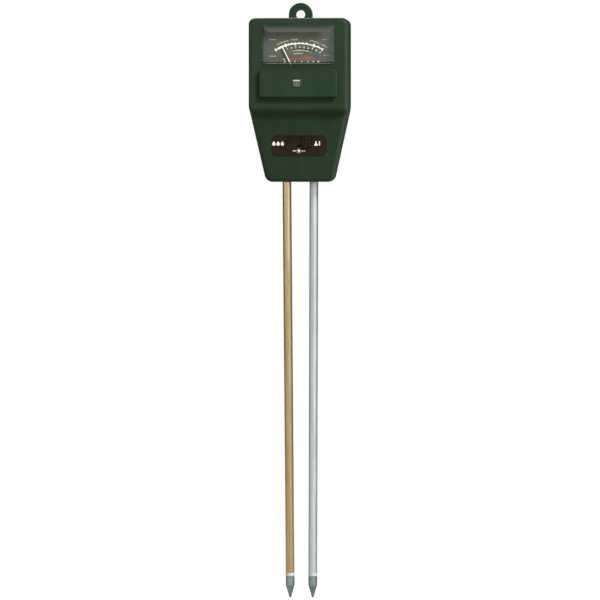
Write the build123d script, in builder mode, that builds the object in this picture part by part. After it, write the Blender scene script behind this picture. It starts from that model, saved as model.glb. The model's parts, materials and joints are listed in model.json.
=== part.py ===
from build123d import *
from math import atan2, cos, degrees, radians, sin, tan
import os

# Soil tester: a moulded head with a moving-coil meter, a light cell and a slide switch,
# and two long probes. Millimetres, Z up, front towards -Y. The origin lies midway between
# the probes at the underside of the head, on the plane where the two case halves part.

# Head outline, seen from the front: an upright face above a step, and a slope below it
face_height = 45.65
step_height = 34.5
head_width = 48.8
foot_width = 32.9
shoulder_height = 36.1
top_corner_radius = 3.2
shoulder_radius = 20.0
foot_corner_radius = 4.0

# Head depth, each way from the parting plane
front_depth = 18.7
foot_depth = 9.0
rear_depth = 12.0
wall = 2.0
edge_radius = 2.2

# Step between the upright face and the slope below it
step_drop = 3.1
step_rise = 1.4
step_round_spare = 0.8
cove_radius = 1.5

# Lap joint between the case halves
lip_length = 1.2
lip_thickness = 0.9
lip_clearance = 0.1
seam_gap = 0.2

# Hang tab
tab_radius = 5.85
tab_hole_diameter = 4.5
tab_rise = 2.1
tab_thickness = 3.5
tab_edge_radius = 0.8

# Case screws and the posts that they join
post_radius = 2.2
post_inset = 4.1
foot_post_inset = 3.3
foot_post_height = 7.3
rear_post_radius = 3.4
case_screw_diameter = 2.2
case_screw_reach = 5.0
case_head_diameter = 4.0
case_head_height = 1.6
counterbore_depth = 3.0
counterbore_clearance = 0.3
screw_clearance = 0.2
pilot_clearance = 0.05
pilot_spare = 1.0
screw_cross_width = 0.5
screw_cross_share = 0.6
screw_head_rounding = 0.4

# Clear window over the dial
window_margin = 6.7
window_height = 18.9
window_drop = 3.7
window_corner_radius = 1.0
window_proud = 1.2
window_bevel = 0.9
window_plate = 2.0
window_skirt = 1.9
window_lip = 0.4
window_lip_thickness = 1.0
window_clearance = 0.1

# Raised cover, lens and light cell
cover_margin = 5.45
cover_height = 13.95
cover_gap = 2.35
cover_proud = 2.4
cover_wall = 1.2
cover_rim = 2.5
cover_corner_radius = 1.2
cover_edge_radius = 0.6
peg_inset = 3.45
peg_diameter = 2.4
peg_clearance = 0.1
lens_width = 5.2
lens_height = 4.1
lens_corner_radius = 0.8
lens_proud = 0.35
lens_edge_radius = 0.3
lens_flange = 1.0
lens_flange_thickness = 0.7
lens_clearance = 0.05
cell_width = 14.4
cell_height = 7.0
cell_thickness = 1.0
cell_opening_margin = 0.6

# Switch label and slide switch, on the slope
label_height = 17.75
label_width = 26.8
label_length = 10.2
label_corner_radius = 2.6
label_sink = 0.2
label_proud = 0.15
label_clearance = 0.1
slot_rise = 1.9
slot_corner_radius = 0.5
knob_length = 4.0
knob_width = 4.9
knob_end_gap = 0.2
knob_side_gap = 0.25
knob_proud = 1.3
knob_edge_radius = 0.3
knob_travel = 4.0
knob_rib_count = 4
knob_rib_width = 0.45
knob_rib_depth = 0.35
shutter_gap = 0.3
shutter_thickness = 0.8
shutter_margin = 0.5
can_gap = 0.3
can_sheet = 0.4
neck_size = 3.0
neck_clearance = 0.25
socket_depth = 0.9
slider_length = 9.0
slider_width = 6.0
slider_thickness = 2.0
slider_clearance = 0.1
slider_end_gap = 0.8
slider_side_gap = 0.3
wiper_length = 7.0
wiper_width = 3.0
wiper_sheet = 0.25
wiper_room = 1.1
wiper_contact_radius = 0.7
wiper_pitch = 4.0
pad_thickness = 0.2
pad_size = 1.6
pin_diameter = 0.8
pin_count = 4
pin_reach = 1.4
pin_clearance = 0.05
base_thickness = 1.2
base_clearance = 0.1

# Circuit board
board_width = 26.8
board_length = 15.6
board_thickness = 1.6
board_corner_radius = 1.0
board_screw_inset = 2.6
board_screw_margin = 1.9
board_screw_diameter = 2.0
board_screw_length = 6.0
board_head_diameter = 3.6
board_head_height = 1.3
resistor_diameter = 1.8
resistor_length = 4.2
resistor_lead_diameter = 0.5
resistor_lead_span = 7.0
resistor_rise = 3.4
resistor_across = 7.5
resistor_gap = 0.1

# Meter frame and dial
pivot_drop = 7.95
frame_setback = 6.0
frame_thickness = 2.0
frame_inset = 0.2
frame_drop = 12.5
frame_clearance = 0.8
frame_bar_margin = 1.7
upper_bar_rise = 14.4
lower_bar_drop = 7.6
meter_screw_length = 5.0
dial_overhang = 0.1
dial_drop = 4.6
dial_thickness = 0.4
dial_screw_inset = 3.1
dial_screw_rise = 6.0
dial_screw_diameter = 1.6
dial_screw_length = 2.2
dial_head_diameter = 3.0
dial_head_height = 0.9
stop_angle = 42.0
stop_radius = 13.2
stop_diameter = 0.7
stop_length = 1.8

# Magnet system
ring_thickness = 2.0
ring_length = 8.5
ring_clearance = 0.05
ring_ledge = 0.7
cup_wall = 2.0
cup_length = 11.8
core_radius = 5.5
core_length = 8.0
spacer_width = 5.0

# Moving coil and pointer
needle_rest = 26.1
coil_side_gap = 0.5
coil_end_gap = 0.6
former_thickness = 0.3
former_width = 2.8
winding_thickness = 0.7
winding_width = 2.2
winding_clearance = 1.0
boss_radius = 1.2
boss_flange_radius = 1.9
boss_flange_thickness = 0.3
rear_boss_length = 1.2
staff_radius = 0.4
staff_reach = 0.9
staff_cone = 0.5
staff_point_radius = 0.08
pointer_gap = 0.6
pointer_thickness = 0.3
pointer_length = 18.3
pointer_base_width = 1.2
pointer_tip_width = 0.7
pointer_hub_radius = 1.5
tail_length = 5.8
tail_width = 1.2
weight_radius = 0.8
weight_length = 1.35
weight_distance = 4.9
fit_clearance = 0.02

# Bridges, jewels and hairsprings
bridge_screw_gap = 1.5
bridge_boss_radius = 2.2
bridge_width = 4.0
bridge_thickness = 0.8
bridge_overhang = 2.1
bridge_gap = 0.2
bridge_screw_diameter = 1.6
bridge_screw_length = 3.6
bridge_head_diameter = 3.0
bridge_head_height = 0.7
jewel_radius = 0.9
jewel_head_length = 0.5
jewel_head_radius = 1.3
jewel_cup_radius = 0.65
jewel_cup_depth = 0.6
jewel_point_gap = 0.1
spring_strip = 0.12
spring_width = 0.4
spring_pitch = 0.8
spring_half_turns = 6
spring_gap = 0.3
anchor_radius = 0.4

# Meter terminals
terminal_inset = 3.5
terminal_rise = 2.6
terminal_width = 2.4
terminal_sheet = 0.6
terminal_foot = 3.0
terminal_length = 4.0

# Probes
probe_diameter = 4.3
probe_spacing = 13.3
brass_lean = 0.47
alloy_lean = 0.16
tube_bore_diameter = 2.7
tube_reach = 192.4
tube_spare = 0.6
seat_diameter = 3.9
shoulder_gap = 0.05
collar_length = 1.5
collar_spigot = 4.0
collar_clearance = 0.03
tip_length = 10.6
tip_straight = 4.6
tip_end_radius = 0.5
stud_diameter = 1.6
stud_spare = 1.2

# Probe holder and lugs
holder_margin = 2.9
holder_depth = 9.0
holder_height = 10.0
bush_diameter = 5.4
bush_clearance = 0.1
ear_margin = 1.9
ear_height = 6.4
lug_radius = 3.6
lug_thickness = 0.6
lug_clearance = 0.15
lug_tail_spare = 1.1
lug_tail_width = 2.2

# Leads
lead_diameter = 0.9
lead_bend_share = 0.45
tube_lead_inset = 1.7
tube_lead_rise = -1.0
tube_lead_behind = 0.5
core_lead_rise = -2.6
meter_lead_across = 5.5
meter_lead_rise = 5.9
cell_lead_across = 6.2
cell_lead_rise = 5.9
cell_lead_gap = 0.65
cell_lead_clearance = 2.2
cell_lead_bend = (12.7, 33.0)
meter_lead_drop = 3.2
meter_lead_bend = (6.5, 1.5, 32.0)
pad_approach = 3.6

# Places that follow from the sizes above
head_height = step_height + face_height
step_radius = edge_radius + step_round_spare
post_across = head_width / 2 - post_inset
top_post_height = head_height - post_inset
foot_post_across = foot_width / 2 - foot_post_inset
window_width = head_width - 2 * window_margin
window_base = head_height - window_drop - window_height
cover_width = head_width - 2 * cover_margin
cover_middle = window_base - cover_gap - cover_height / 2
peg_across = cover_width / 2 - peg_inset

front_inner = front_depth - wall
slope_angle = degrees(atan2(front_depth - step_drop - foot_depth, step_height - step_rise))
slope_cos = cos(radians(slope_angle))
slope_sin = sin(radians(slope_angle))
slope_plane = Plane(
    origin=(0, -foot_depth - label_height * slope_sin / slope_cos, label_height),
    x_dir=(1, 0, 0),
    z_dir=(0, -slope_cos, -slope_sin),
)
slot_length = 2 * (knob_travel + knob_end_gap) + knob_length
slot_width = knob_width + 2 * knob_side_gap
can_length = 2 * (knob_travel + slider_end_gap + can_sheet) + slider_length
can_width = slider_width + 2 * (slider_side_gap + can_sheet)
can_height = can_sheet + slider_clearance + slider_thickness + wiper_room + pad_thickness + base_thickness
board_screw_across = board_width / 2 - board_screw_inset
board_screw_rise = board_length / 2 - board_screw_margin
shutter_front = wall + shutter_gap
shutter_back = shutter_front + shutter_thickness
can_front = shutter_back + can_gap
board_front = can_front + can_height
board_back = board_front + board_thickness
slider_front = can_front + can_sheet + slider_clearance
slider_back = slider_front + slider_thickness
base_front = board_front - base_thickness
pad_front = base_front - pad_thickness

pivot_height = window_base - pivot_drop
frame_width = window_width - 2 * frame_inset
frame_bar_end = post_across + frame_bar_margin
frame_front = front_depth - frame_setback
frame_back = frame_front - frame_thickness
frame_bottom = pivot_height - frame_drop
frame_top = head_height - wall - frame_clearance
dial_width = frame_width + 2 * dial_overhang
dial_screw_across = dial_width / 2 - dial_screw_inset
dial_front = frame_front + dial_thickness
terminal_across = frame_width / 2 - terminal_inset
ring_back = frame_back - ring_length
cup_back = frame_back - cup_length
core_front = ring_back + core_length
former_half = core_radius + coil_side_gap
ring_bore_radius = former_half + former_thickness + winding_thickness + winding_clearance
ring_radius = ring_bore_radius + ring_thickness
frame_bore_radius = ring_radius - ring_ledge
bridge_screw_across = ring_radius + bridge_screw_gap
bridge_end = bridge_screw_across + bridge_overhang
former_front = core_front + coil_end_gap
former_back = ring_back - coil_end_gap
coil_front = former_front + former_thickness + winding_thickness
coil_back = former_back - former_thickness - winding_thickness
pointer_back = dial_front + pointer_gap
pointer_front = pointer_back + pointer_thickness
front_point = pointer_front + staff_reach
rear_boss_back = coil_back - rear_boss_length
rear_point = rear_boss_back - staff_reach
front_bridge_back = front_point + bridge_gap
front_spring_back = coil_front + boss_flange_thickness + spring_gap
rear_spring_front = coil_back - boss_flange_thickness - spring_gap
spring_start = boss_radius + spring_strip / 2 + fit_clearance
spring_end = spring_start + spring_half_turns * spring_pitch / 2
anchor_across = spring_end + spring_strip / 2 + anchor_radius + fit_clearance

holder_top = wall + holder_height
holder_width = probe_spacing + 2 * holder_margin
ear_thickness = holder_depth / 2
ear_end = foot_post_across + ear_margin
tube_seat = holder_top + lug_thickness + tube_spare
tube_lead_across = board_width / 2 - tube_lead_inset
lug_tail_end = tube_lead_across + lug_tail_spare
stud_length = collar_length + collar_spigot + stud_spare

case_screw_points = [
    (side * across, height)
    for across, height in ((post_across, top_post_height), (foot_post_across, foot_post_height))
    for side in (-1, 1)
]
bar_heights = (pivot_height + upper_bar_rise, pivot_height - lower_bar_drop)
meter_screw_points = [
    (side * post_across, height)
    for height in bar_heights
    for side in (-1, 1)
]
peg_points = [(-peg_across, cover_middle), (peg_across, cover_middle)]
board_screw_points = [
    (-board_screw_across, slot_rise + board_screw_rise),
    (board_screw_across, slot_rise - board_screw_rise),
]
dial_screw_points = [(side * dial_screw_across, pivot_height + dial_screw_rise) for side in (-1, 1)]
bridge_screw_points = [(side * bridge_screw_across, pivot_height) for side in (-1, 1)]

# Spindle of the movement: radius along X, distance ahead of the parting plane along Y
spindle_plane = Plane(origin=(0, 0, pivot_height), x_dir=(1, 0, 0), z_dir=(0, 0, -1))
spindle = Axis((0, 0, pivot_height), (0, -1, 0))
rest_cos = cos(radians(needle_rest))
rest_sin = sin(radians(needle_rest))
coil_plane = Plane(
    origin=(0, 0, pivot_height),
    x_dir=(rest_cos, 0, rest_sin),
    z_dir=(rest_sin, 0, -rest_cos),
)


def moving_plane(ahead):
    """Plane that turns with the needle, with its Y along the needle at rest."""
    return Plane(
        origin=(0, -ahead, pivot_height),
        x_dir=(rest_cos, 0, rest_sin),
        z_dir=(0, -1, 0),
    )


def probe_plane(side, lean):
    """Plane through a probe's axis, with its Y up the probe and its X across it."""
    return Plane(
        origin=(side * probe_spacing / 2, 0, 0),
        x_dir=(cos(radians(lean)), 0, -side * sin(radians(lean))),
        z_dir=(0, -1, 0),
    )


def probe_point(plane, height):
    """Point of a probe's axis at a height above the underside of the head."""
    return plane.origin + plane.y_dir * (height / plane.y_dir.Z)


def slope_point(across, rise, depth):
    """Point at a place on the slope, a depth behind its outer face."""
    return slope_plane.from_local_coords(Vector(across, slot_rise + rise, -depth))


brass_plane = probe_plane(-1, brass_lean)
alloy_plane = probe_plane(1, alloy_lean)
bush_points = [(plane.origin.X, plane.origin.Y) for plane in (brass_plane, alloy_plane)]


def save(piece, name):
    """Label a finished piece and write it to its own file."""
    piece.part.label = name
    export_step(piece.part, f"parts/{name}.step")


def outline(plane, inset):
    """Front outline of the head on a plane, drawn in by an inset all round."""
    with BuildSketch(plane) as face:
        with BuildLine():
            Polyline(
                (-foot_width / 2, 0),
                (foot_width / 2, 0),
                (head_width / 2, shoulder_height),
                (head_width / 2, head_height),
                (-head_width / 2, head_height),
                (-head_width / 2, shoulder_height),
                close=True,
            )
        make_face()
        fillet(face.vertices().group_by(Axis.Y)[1], shoulder_radius)
        fillet(face.vertices().group_by(Axis.Y)[0], foot_corner_radius)
        fillet(face.vertices().group_by(Axis.Y)[-1], top_corner_radius)
        if inset:
            offset(amount=-inset, mode=Mode.REPLACE)
    return face.sketch


def side_profile(inset):
    """Side view of the front half, drawn in by an inset and running on behind the parting plane."""
    with BuildSketch(Plane.YZ) as face:
        with BuildLine():
            Polyline(
                (rear_depth, 0),
                (-foot_depth, 0),
                (step_drop - front_depth, step_height - step_rise),
                (-front_depth, step_height),
                (-front_depth, head_height),
                (rear_depth, head_height),
                close=True,
            )
        make_face()
        fillet(face.vertices().group_by(Axis.Y)[2], step_radius)
        fillet(face.vertices().group_by(Axis.Y)[1], cove_radius)
        if inset:
            offset(amount=-inset, mode=Mode.REPLACE)
    return face.sketch


def screw_group(plane, facing, points, diameter, length, head_diameter, head_height):
    """Cross-head screws seated on a plane, with the heads on the side that facing gives."""
    with BuildPart() as group:
        with BuildSketch(plane):
            with Locations(*points):
                Circle(head_diameter / 2)
        extrude(amount=facing * head_height)
        outward = Axis(plane.origin, plane.z_dir * facing)
        fillet(group.edges().group_by(outward)[-1], head_height * screw_head_rounding)
        with BuildSketch(plane.offset(facing * head_height)):
            with Locations(*points):
                Rectangle(head_diameter * screw_cross_share, screw_cross_width)
                Rectangle(screw_cross_width, head_diameter * screw_cross_share)
        extrude(amount=-facing * head_height * screw_cross_share, mode=Mode.SUBTRACT)
        with BuildSketch(plane):
            with Locations(*points):
                Circle(diameter / 2)
        extrude(amount=-facing * length)
    return group


def lead(points, diameter):
    """Wire along straight runs joined by tangent arcs."""
    corners = [Vector(point) for point in points]
    radii = []
    for before, here, after in zip(corners, corners[1:], corners[2:]):
        turn = radians((here - before).get_angle(after - here))
        run = min((here - before).length, (after - here).length)
        radii.append(lead_bend_share * run / tan(turn / 2))
    with BuildPart() as wire:
        with BuildLine() as route:
            FilletPolyline(*corners, radius=radii)
        with BuildSketch(Plane(origin=route.line @ 0, z_dir=route.line % 0)):
            Circle(diameter / 2)
        sweep(path=route.line)
    return wire


# Front case: block, cavity and posts come first

with BuildPart() as front_block:
    extrude(outline(Plane.XZ, 0), amount=front_depth)
    extrude(side_profile(0), amount=head_width, both=True, mode=Mode.INTERSECT)
    front_edges = front_block.edges().filter_by(lambda edge: edge.bounding_box().max.Y < -wall)
    seams = front_edges.filter_by(Axis.X).filter_by_position(Axis.Z, wall, head_height - wall)
    fillet([edge for edge in front_edges if edge not in seams], edge_radius)

with BuildPart() as front_cavity:
    extrude(outline(Plane.XZ, wall), amount=front_depth)
    extrude(side_profile(wall), amount=head_width, both=True, mode=Mode.INTERSECT)

with BuildPart() as front_posts:
    with BuildSketch(Plane.XZ):
        with Locations(*case_screw_points):
            Circle(post_radius)
    extrude(amount=front_depth)
    with BuildSketch(Plane.XZ.offset(frame_front)):
        with Locations(*meter_screw_points):
            Circle(post_radius)
    extrude(amount=front_depth - frame_front)
    with BuildSketch(slope_plane.offset(-board_front)):
        with Locations(*board_screw_points):
            Circle(post_radius)
    extrude(amount=board_front)
    add(front_block.part, mode=Mode.INTERSECT)

with BuildPart() as front_case:
    add(front_block.part)
    add(front_cavity.part, mode=Mode.SUBTRACT)
    add(front_posts.part)
    extrude(outline(Plane.XZ, 0), amount=-lip_length)
    extrude(outline(Plane.XZ, lip_thickness), amount=-lip_length, mode=Mode.SUBTRACT)
    # Window and sensor openings, and the holes for the cover's pegs
    with BuildSketch(Plane.XZ.offset(front_depth)):
        with Locations((0, window_base + window_height / 2)):
            RectangleRounded(window_width, window_height, window_corner_radius)
        with Locations((0, cover_middle)):
            Rectangle(cell_width + 2 * cell_opening_margin, cell_height + 2 * cell_opening_margin)
        with Locations(*peg_points):
            Circle(peg_diameter / 2 + peg_clearance)
    extrude(amount=-wall, mode=Mode.SUBTRACT)
    # Label recess and switch slot
    with BuildSketch(slope_plane):
        RectangleRounded(
            label_width + 2 * label_clearance,
            label_length + 2 * label_clearance,
            label_corner_radius + label_clearance,
        )
    extrude(amount=-label_sink, mode=Mode.SUBTRACT)
    with BuildSketch(slope_plane):
        with Locations((0, slot_rise)):
            RectangleRounded(slot_length, slot_width, slot_corner_radius)
    extrude(amount=-wall, mode=Mode.SUBTRACT)
    # Pilot holes for the screws
    with BuildSketch(Plane.XZ):
        with Locations(*case_screw_points):
            Circle(case_screw_diameter / 2 + pilot_clearance)
    extrude(amount=case_screw_reach + pilot_spare, mode=Mode.SUBTRACT)
    with BuildSketch(Plane.XZ.offset(frame_front)):
        with Locations(*meter_screw_points):
            Circle(case_screw_diameter / 2 + pilot_clearance)
    extrude(amount=meter_screw_length - frame_thickness + pilot_clearance, mode=Mode.SUBTRACT)
    with BuildSketch(slope_plane.offset(-board_front)):
        with Locations(*board_screw_points):
            Circle(board_screw_diameter / 2 + pilot_clearance)
    extrude(amount=board_screw_length - board_thickness + pilot_spare, mode=Mode.SUBTRACT)
    # Holes for the holder's bushes
    with BuildSketch(Plane.XY):
        with Locations(*bush_points):
            Circle(bush_diameter / 2 + bush_clearance)
    extrude(amount=wall, mode=Mode.SUBTRACT)
save(front_case, "front_case")


# Rear case with the hang tab

tab_front = lip_length + seam_gap
with BuildPart() as hang_tab:
    with BuildSketch(Plane.XZ.offset(-tab_front)):
        with Locations((0, head_height + tab_rise)):
            Circle(tab_radius)
            Rectangle(2 * tab_radius, tab_rise + wall, align=(Align.CENTER, Align.MAX))
    extrude(amount=-tab_thickness)
    tab_rims = hang_tab.edges().filter_by(lambda edge: edge.bounding_box().size.Y < pilot_clearance)
    fillet([edge for edge in tab_rims if edge.center().Z > head_height - wall / 2], tab_edge_radius)

with BuildPart() as rear_block:
    extrude(outline(Plane.XZ.offset(-rear_depth), 0), amount=rear_depth - lip_length - seam_gap)
    fillet(rear_block.edges().group_by(Axis.Y)[-1], edge_radius)
    extrude(outline(Plane.XZ, lip_thickness + lip_clearance), amount=-lip_length - seam_gap)

with BuildPart() as rear_posts:
    with BuildSketch(Plane.XZ.offset(-rear_depth)):
        with Locations(*case_screw_points[:2]):
            Circle(rear_post_radius)
    extrude(amount=rear_depth)
    with BuildSketch(Plane.XZ.offset(-rear_depth)):
        with Locations(*case_screw_points[2:]):
            Circle(rear_post_radius)
    extrude(amount=rear_depth - ear_thickness)
    add(rear_block.part, mode=Mode.INTERSECT)

with BuildPart() as rear_case:
    add(rear_block.part)
    extrude(outline(Plane.XZ, wall), amount=wall - rear_depth, mode=Mode.SUBTRACT)
    add(rear_posts.part)
    add(hang_tab.part)
    with BuildSketch(Plane.XZ.offset(-tab_front)):
        with Locations((0, head_height + tab_rise)):
            Circle(tab_hole_diameter / 2)
    extrude(amount=-tab_thickness, mode=Mode.SUBTRACT)
    # Counterbored screw holes
    with BuildSketch(Plane.XZ.offset(-rear_depth)):
        with Locations(*case_screw_points):
            Circle(case_head_diameter / 2 + counterbore_clearance)
    extrude(amount=counterbore_depth, mode=Mode.SUBTRACT)
    with BuildSketch(Plane.XZ.offset(-rear_depth)):
        with Locations(*case_screw_points):
            Circle(case_screw_diameter / 2 + screw_clearance)
    extrude(amount=rear_depth, mode=Mode.SUBTRACT)
    # Holes for the holder's bushes
    with BuildSketch(Plane.XY):
        with Locations(*bush_points):
            Circle(bush_diameter / 2 + bush_clearance)
    extrude(amount=wall, mode=Mode.SUBTRACT)
save(rear_case, "rear_case")

case_screws = screw_group(
    Plane.XZ.offset(counterbore_depth - rear_depth),
    -1,
    case_screw_points,
    case_screw_diameter,
    rear_depth - counterbore_depth + case_screw_reach,
    case_head_diameter,
    case_head_height,
)
save(case_screws, "case_screws")


# Window: a clear box with skirts at its top and sides that stand on the dial

window_middle = window_base + window_height / 2
clear_width = window_width - 2 * window_clearance
clear_height = window_height - 2 * window_clearance
with BuildPart() as meter_window:
    with BuildSketch(Plane.XZ.offset(dial_front)):
        with Locations((0, window_middle)):
            RectangleRounded(clear_width, clear_height, window_corner_radius)
    extrude(amount=front_depth + window_proud - dial_front)
    chamfer(meter_window.edges().group_by(Axis.Y)[0], window_bevel)
    with BuildSketch(Plane.XZ.offset(front_inner - window_lip_thickness)):
        with Locations((0, window_middle)):
            Rectangle(clear_width + 2 * window_lip, clear_height + 2 * window_lip)
    extrude(amount=window_lip_thickness)
    with BuildSketch(Plane.XZ.offset(dial_front)):
        with Locations((0, window_base + window_clearance + clear_height - window_skirt)):
            Rectangle(
                clear_width - 2 * window_skirt,
                clear_height - window_skirt + window_clearance + window_lip,
                align=(Align.CENTER, Align.MAX),
            )
    extrude(amount=front_depth + window_proud - window_plate - dial_front, mode=Mode.SUBTRACT)
save(meter_window, "meter_window")


# Raised cover, its lens and the light cell behind the lens

cover_front = front_depth + cover_proud
cover_inner = cover_front - cover_wall
with BuildPart() as sensor_cover:
    with BuildSketch(Plane.XZ.offset(front_depth)):
        with Locations((0, cover_middle)):
            RectangleRounded(cover_width, cover_height, cover_corner_radius)
    extrude(amount=cover_proud)
    fillet(sensor_cover.edges().group_by(Axis.Y)[0], cover_edge_radius)
    with BuildSketch(Plane.XZ.offset(front_depth)):
        with Locations((0, cover_middle)):
            Rectangle(cover_width - 2 * cover_rim, cover_height - 2 * cover_rim)
    extrude(amount=cover_proud - cover_wall, mode=Mode.SUBTRACT)
    with BuildSketch(Plane.XZ.offset(cover_inner)):
        with Locations((0, cover_middle)):
            RectangleRounded(lens_width, lens_height, lens_corner_radius)
    extrude(amount=cover_wall, mode=Mode.SUBTRACT)
    with BuildSketch(Plane.XZ.offset(front_inner)):
        with Locations(*peg_points):
            Circle(peg_diameter / 2)
    extrude(amount=wall + cover_proud - cover_wall)
save(sensor_cover, "sensor_cover")

flange_back = cover_inner - lens_flange_thickness
with BuildPart() as sensor_lens:
    with BuildSketch(Plane.XZ.offset(cover_inner)):
        with Locations((0, cover_middle)):
            RectangleRounded(
                lens_width - 2 * lens_clearance,
                lens_height - 2 * lens_clearance,
                lens_corner_radius - lens_clearance,
            )
    extrude(amount=cover_wall + lens_proud)
    fillet(sensor_lens.edges().group_by(Axis.Y)[0], lens_edge_radius)
    with BuildSketch(Plane.XZ.offset(flange_back)):
        with Locations((0, cover_middle)):
            Rectangle(lens_width + 2 * lens_flange, lens_height + 2 * lens_flange)
    extrude(amount=lens_flange_thickness)
save(sensor_lens, "sensor_lens")

cell_back = flange_back - cell_thickness
with BuildPart() as light_cell:
    with BuildSketch(Plane.XZ.offset(cell_back)):
        with Locations((0, cover_middle)):
            Rectangle(cell_width, cell_height)
    extrude(amount=cell_thickness)
save(light_cell, "light_cell")


# Switch label and slide switch; the knob rests at the right-hand end of its slot

slot_point = (0, slot_rise)
knob_point = (knob_travel, slot_rise)
socket_end = shutter_front - socket_depth

with BuildPart() as switch_label:
    with BuildSketch(slope_plane.offset(-label_sink)):
        RectangleRounded(label_width, label_length, label_corner_radius)
        with Locations(slot_point):
            RectangleRounded(slot_length, slot_width, slot_corner_radius, mode=Mode.SUBTRACT)
    extrude(amount=label_sink + label_proud)
save(switch_label, "switch_label")

with BuildPart() as switch_knob:
    with BuildSketch(slope_plane.offset(-shutter_front)):
        with Locations(knob_point):
            Rectangle(knob_length, knob_width)
    extrude(amount=shutter_front + knob_proud)
    fillet(switch_knob.edges().group_by(Axis(slope_plane.origin, slope_plane.z_dir))[-1], knob_edge_radius)
    with BuildSketch(slope_plane.offset(knob_proud)):
        with Locations(knob_point):
            with GridLocations(knob_length / knob_rib_count, 0, knob_rib_count - 1, 1):
                Rectangle(knob_rib_width, knob_width)
    extrude(amount=-knob_rib_depth, mode=Mode.SUBTRACT)
    with BuildSketch(slope_plane.offset(-shutter_back)):
        with Locations(knob_point):
            Rectangle(
                slot_length + 2 * (knob_travel + shutter_margin),
                slot_width + 2 * shutter_margin,
            )
    extrude(amount=shutter_thickness)
    with BuildSketch(slope_plane.offset(-shutter_back)):
        with Locations(knob_point):
            Rectangle(neck_size + 2 * fit_clearance, neck_size + 2 * fit_clearance)
    extrude(amount=shutter_back - socket_end, mode=Mode.SUBTRACT)
save(switch_knob, "switch_knob")

with BuildPart() as switch_slider:
    with BuildSketch(slope_plane.offset(-slider_back)):
        with Locations(knob_point):
            Rectangle(slider_length, slider_width)
    extrude(amount=slider_thickness)
    with BuildSketch(slope_plane.offset(-slider_front)):
        with Locations(knob_point):
            Rectangle(neck_size, neck_size)
    extrude(amount=slider_front - socket_end - fit_clearance)
save(switch_slider, "switch_slider")

with BuildPart() as switch_wiper:
    with BuildSketch(slope_plane.offset(-slider_back)):
        with Locations(knob_point):
            Rectangle(wiper_length, wiper_width)
    extrude(amount=-wiper_sheet)
    with BuildSketch(slope_plane.offset(-slider_back - wiper_sheet)):
        with Locations(knob_point):
            with GridLocations(wiper_pitch, 0, 2, 1):
                Circle(wiper_contact_radius)
    extrude(amount=slider_back + wiper_sheet + pilot_clearance - pad_front)
    inward = Axis(slope_plane.origin, -slope_plane.z_dir)
    fillet(switch_wiper.edges().group_by(inward)[-1], wiper_contact_radius / 2)
save(switch_wiper, "switch_wiper")

with BuildPart() as switch_can:
    with BuildSketch(slope_plane.offset(-board_front)):
        with Locations(slot_point):
            Rectangle(can_length, can_width)
    extrude(amount=can_height)
    with BuildSketch(slope_plane.offset(-board_front)):
        with Locations(slot_point):
            Rectangle(can_length - 2 * can_sheet, can_width - 2 * can_sheet)
    extrude(amount=can_height - can_sheet, mode=Mode.SUBTRACT)
    with BuildSketch(slope_plane.offset(-can_front)):
        with Locations(slot_point):
            Rectangle(
                2 * knob_travel + neck_size + 2 * neck_clearance,
                neck_size + 2 * neck_clearance,
            )
    extrude(amount=-can_sheet, mode=Mode.SUBTRACT)
save(switch_can, "switch_can")

with BuildPart() as switch_base:
    with BuildSketch(slope_plane.offset(-board_front)):
        with Locations(slot_point):
            Rectangle(
                can_length - 2 * (can_sheet + base_clearance),
                can_width - 2 * (can_sheet + base_clearance),
            )
            with GridLocations(wiper_pitch, 0, pin_count, 1):
                Circle(pin_diameter / 2 + pin_clearance, mode=Mode.SUBTRACT)
    extrude(amount=base_thickness)
save(switch_base, "switch_base")

with BuildPart() as switch_pins:
    with BuildSketch(slope_plane.offset(-base_front)):
        with Locations(slot_point):
            with GridLocations(wiper_pitch, 0, pin_count, 1):
                Rectangle(pad_size, pad_size)
    extrude(amount=pad_thickness)
    with BuildSketch(slope_plane.offset(-base_front)):
        with Locations(slot_point):
            with GridLocations(wiper_pitch, 0, pin_count, 1):
                Circle(pin_diameter / 2)
    extrude(amount=base_front - board_back - pin_reach)
save(switch_pins, "switch_pins")


# Circuit board with its screws and resistors

with BuildPart() as circuit_board:
    with BuildSketch(slope_plane.offset(-board_back)):
        with Locations(slot_point):
            RectangleRounded(board_width, board_length, board_corner_radius)
            with GridLocations(wiper_pitch, 0, pin_count, 1):
                Circle(pin_diameter / 2 + pin_clearance, mode=Mode.SUBTRACT)
        with Locations(*board_screw_points):
            Circle(board_screw_diameter / 2 + screw_clearance, mode=Mode.SUBTRACT)
    extrude(amount=board_thickness)
save(circuit_board, "circuit_board")

board_screws = screw_group(
    slope_plane.offset(-board_back),
    -1,
    board_screw_points,
    board_screw_diameter,
    board_screw_length,
    board_head_diameter,
    board_head_height,
)
save(board_screws, "board_screws")

resistor_depth = board_back + resistor_gap + resistor_diameter / 2
resistor_leg = (resistor_lead_span - resistor_lead_diameter) / 2
resistor_points = [
    (-resistor_across, resistor_rise),
    (resistor_across, resistor_rise),
    (0, -resistor_rise),
]
with BuildPart() as resistors:
    for across, rise in resistor_points:
        middle = slope_point(across, rise, resistor_depth)
        with BuildSketch(Plane(origin=middle, x_dir=slope_plane.y_dir, z_dir=slope_plane.x_dir)):
            Circle(resistor_diameter / 2)
        extrude(amount=resistor_length / 2, both=True)
        bent_wire = lead(
            [
                slope_point(across - resistor_leg, rise, board_back),
                slope_point(across - resistor_leg, rise, resistor_depth),
                slope_point(across + resistor_leg, rise, resistor_depth),
                slope_point(across + resistor_leg, rise, board_back),
            ],
            resistor_lead_diameter,
        )
        add(bent_wire.part)
save(resistors, "resistors")


# Meter frame: plate, cup for the magnet, posts for the front bridge

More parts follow.
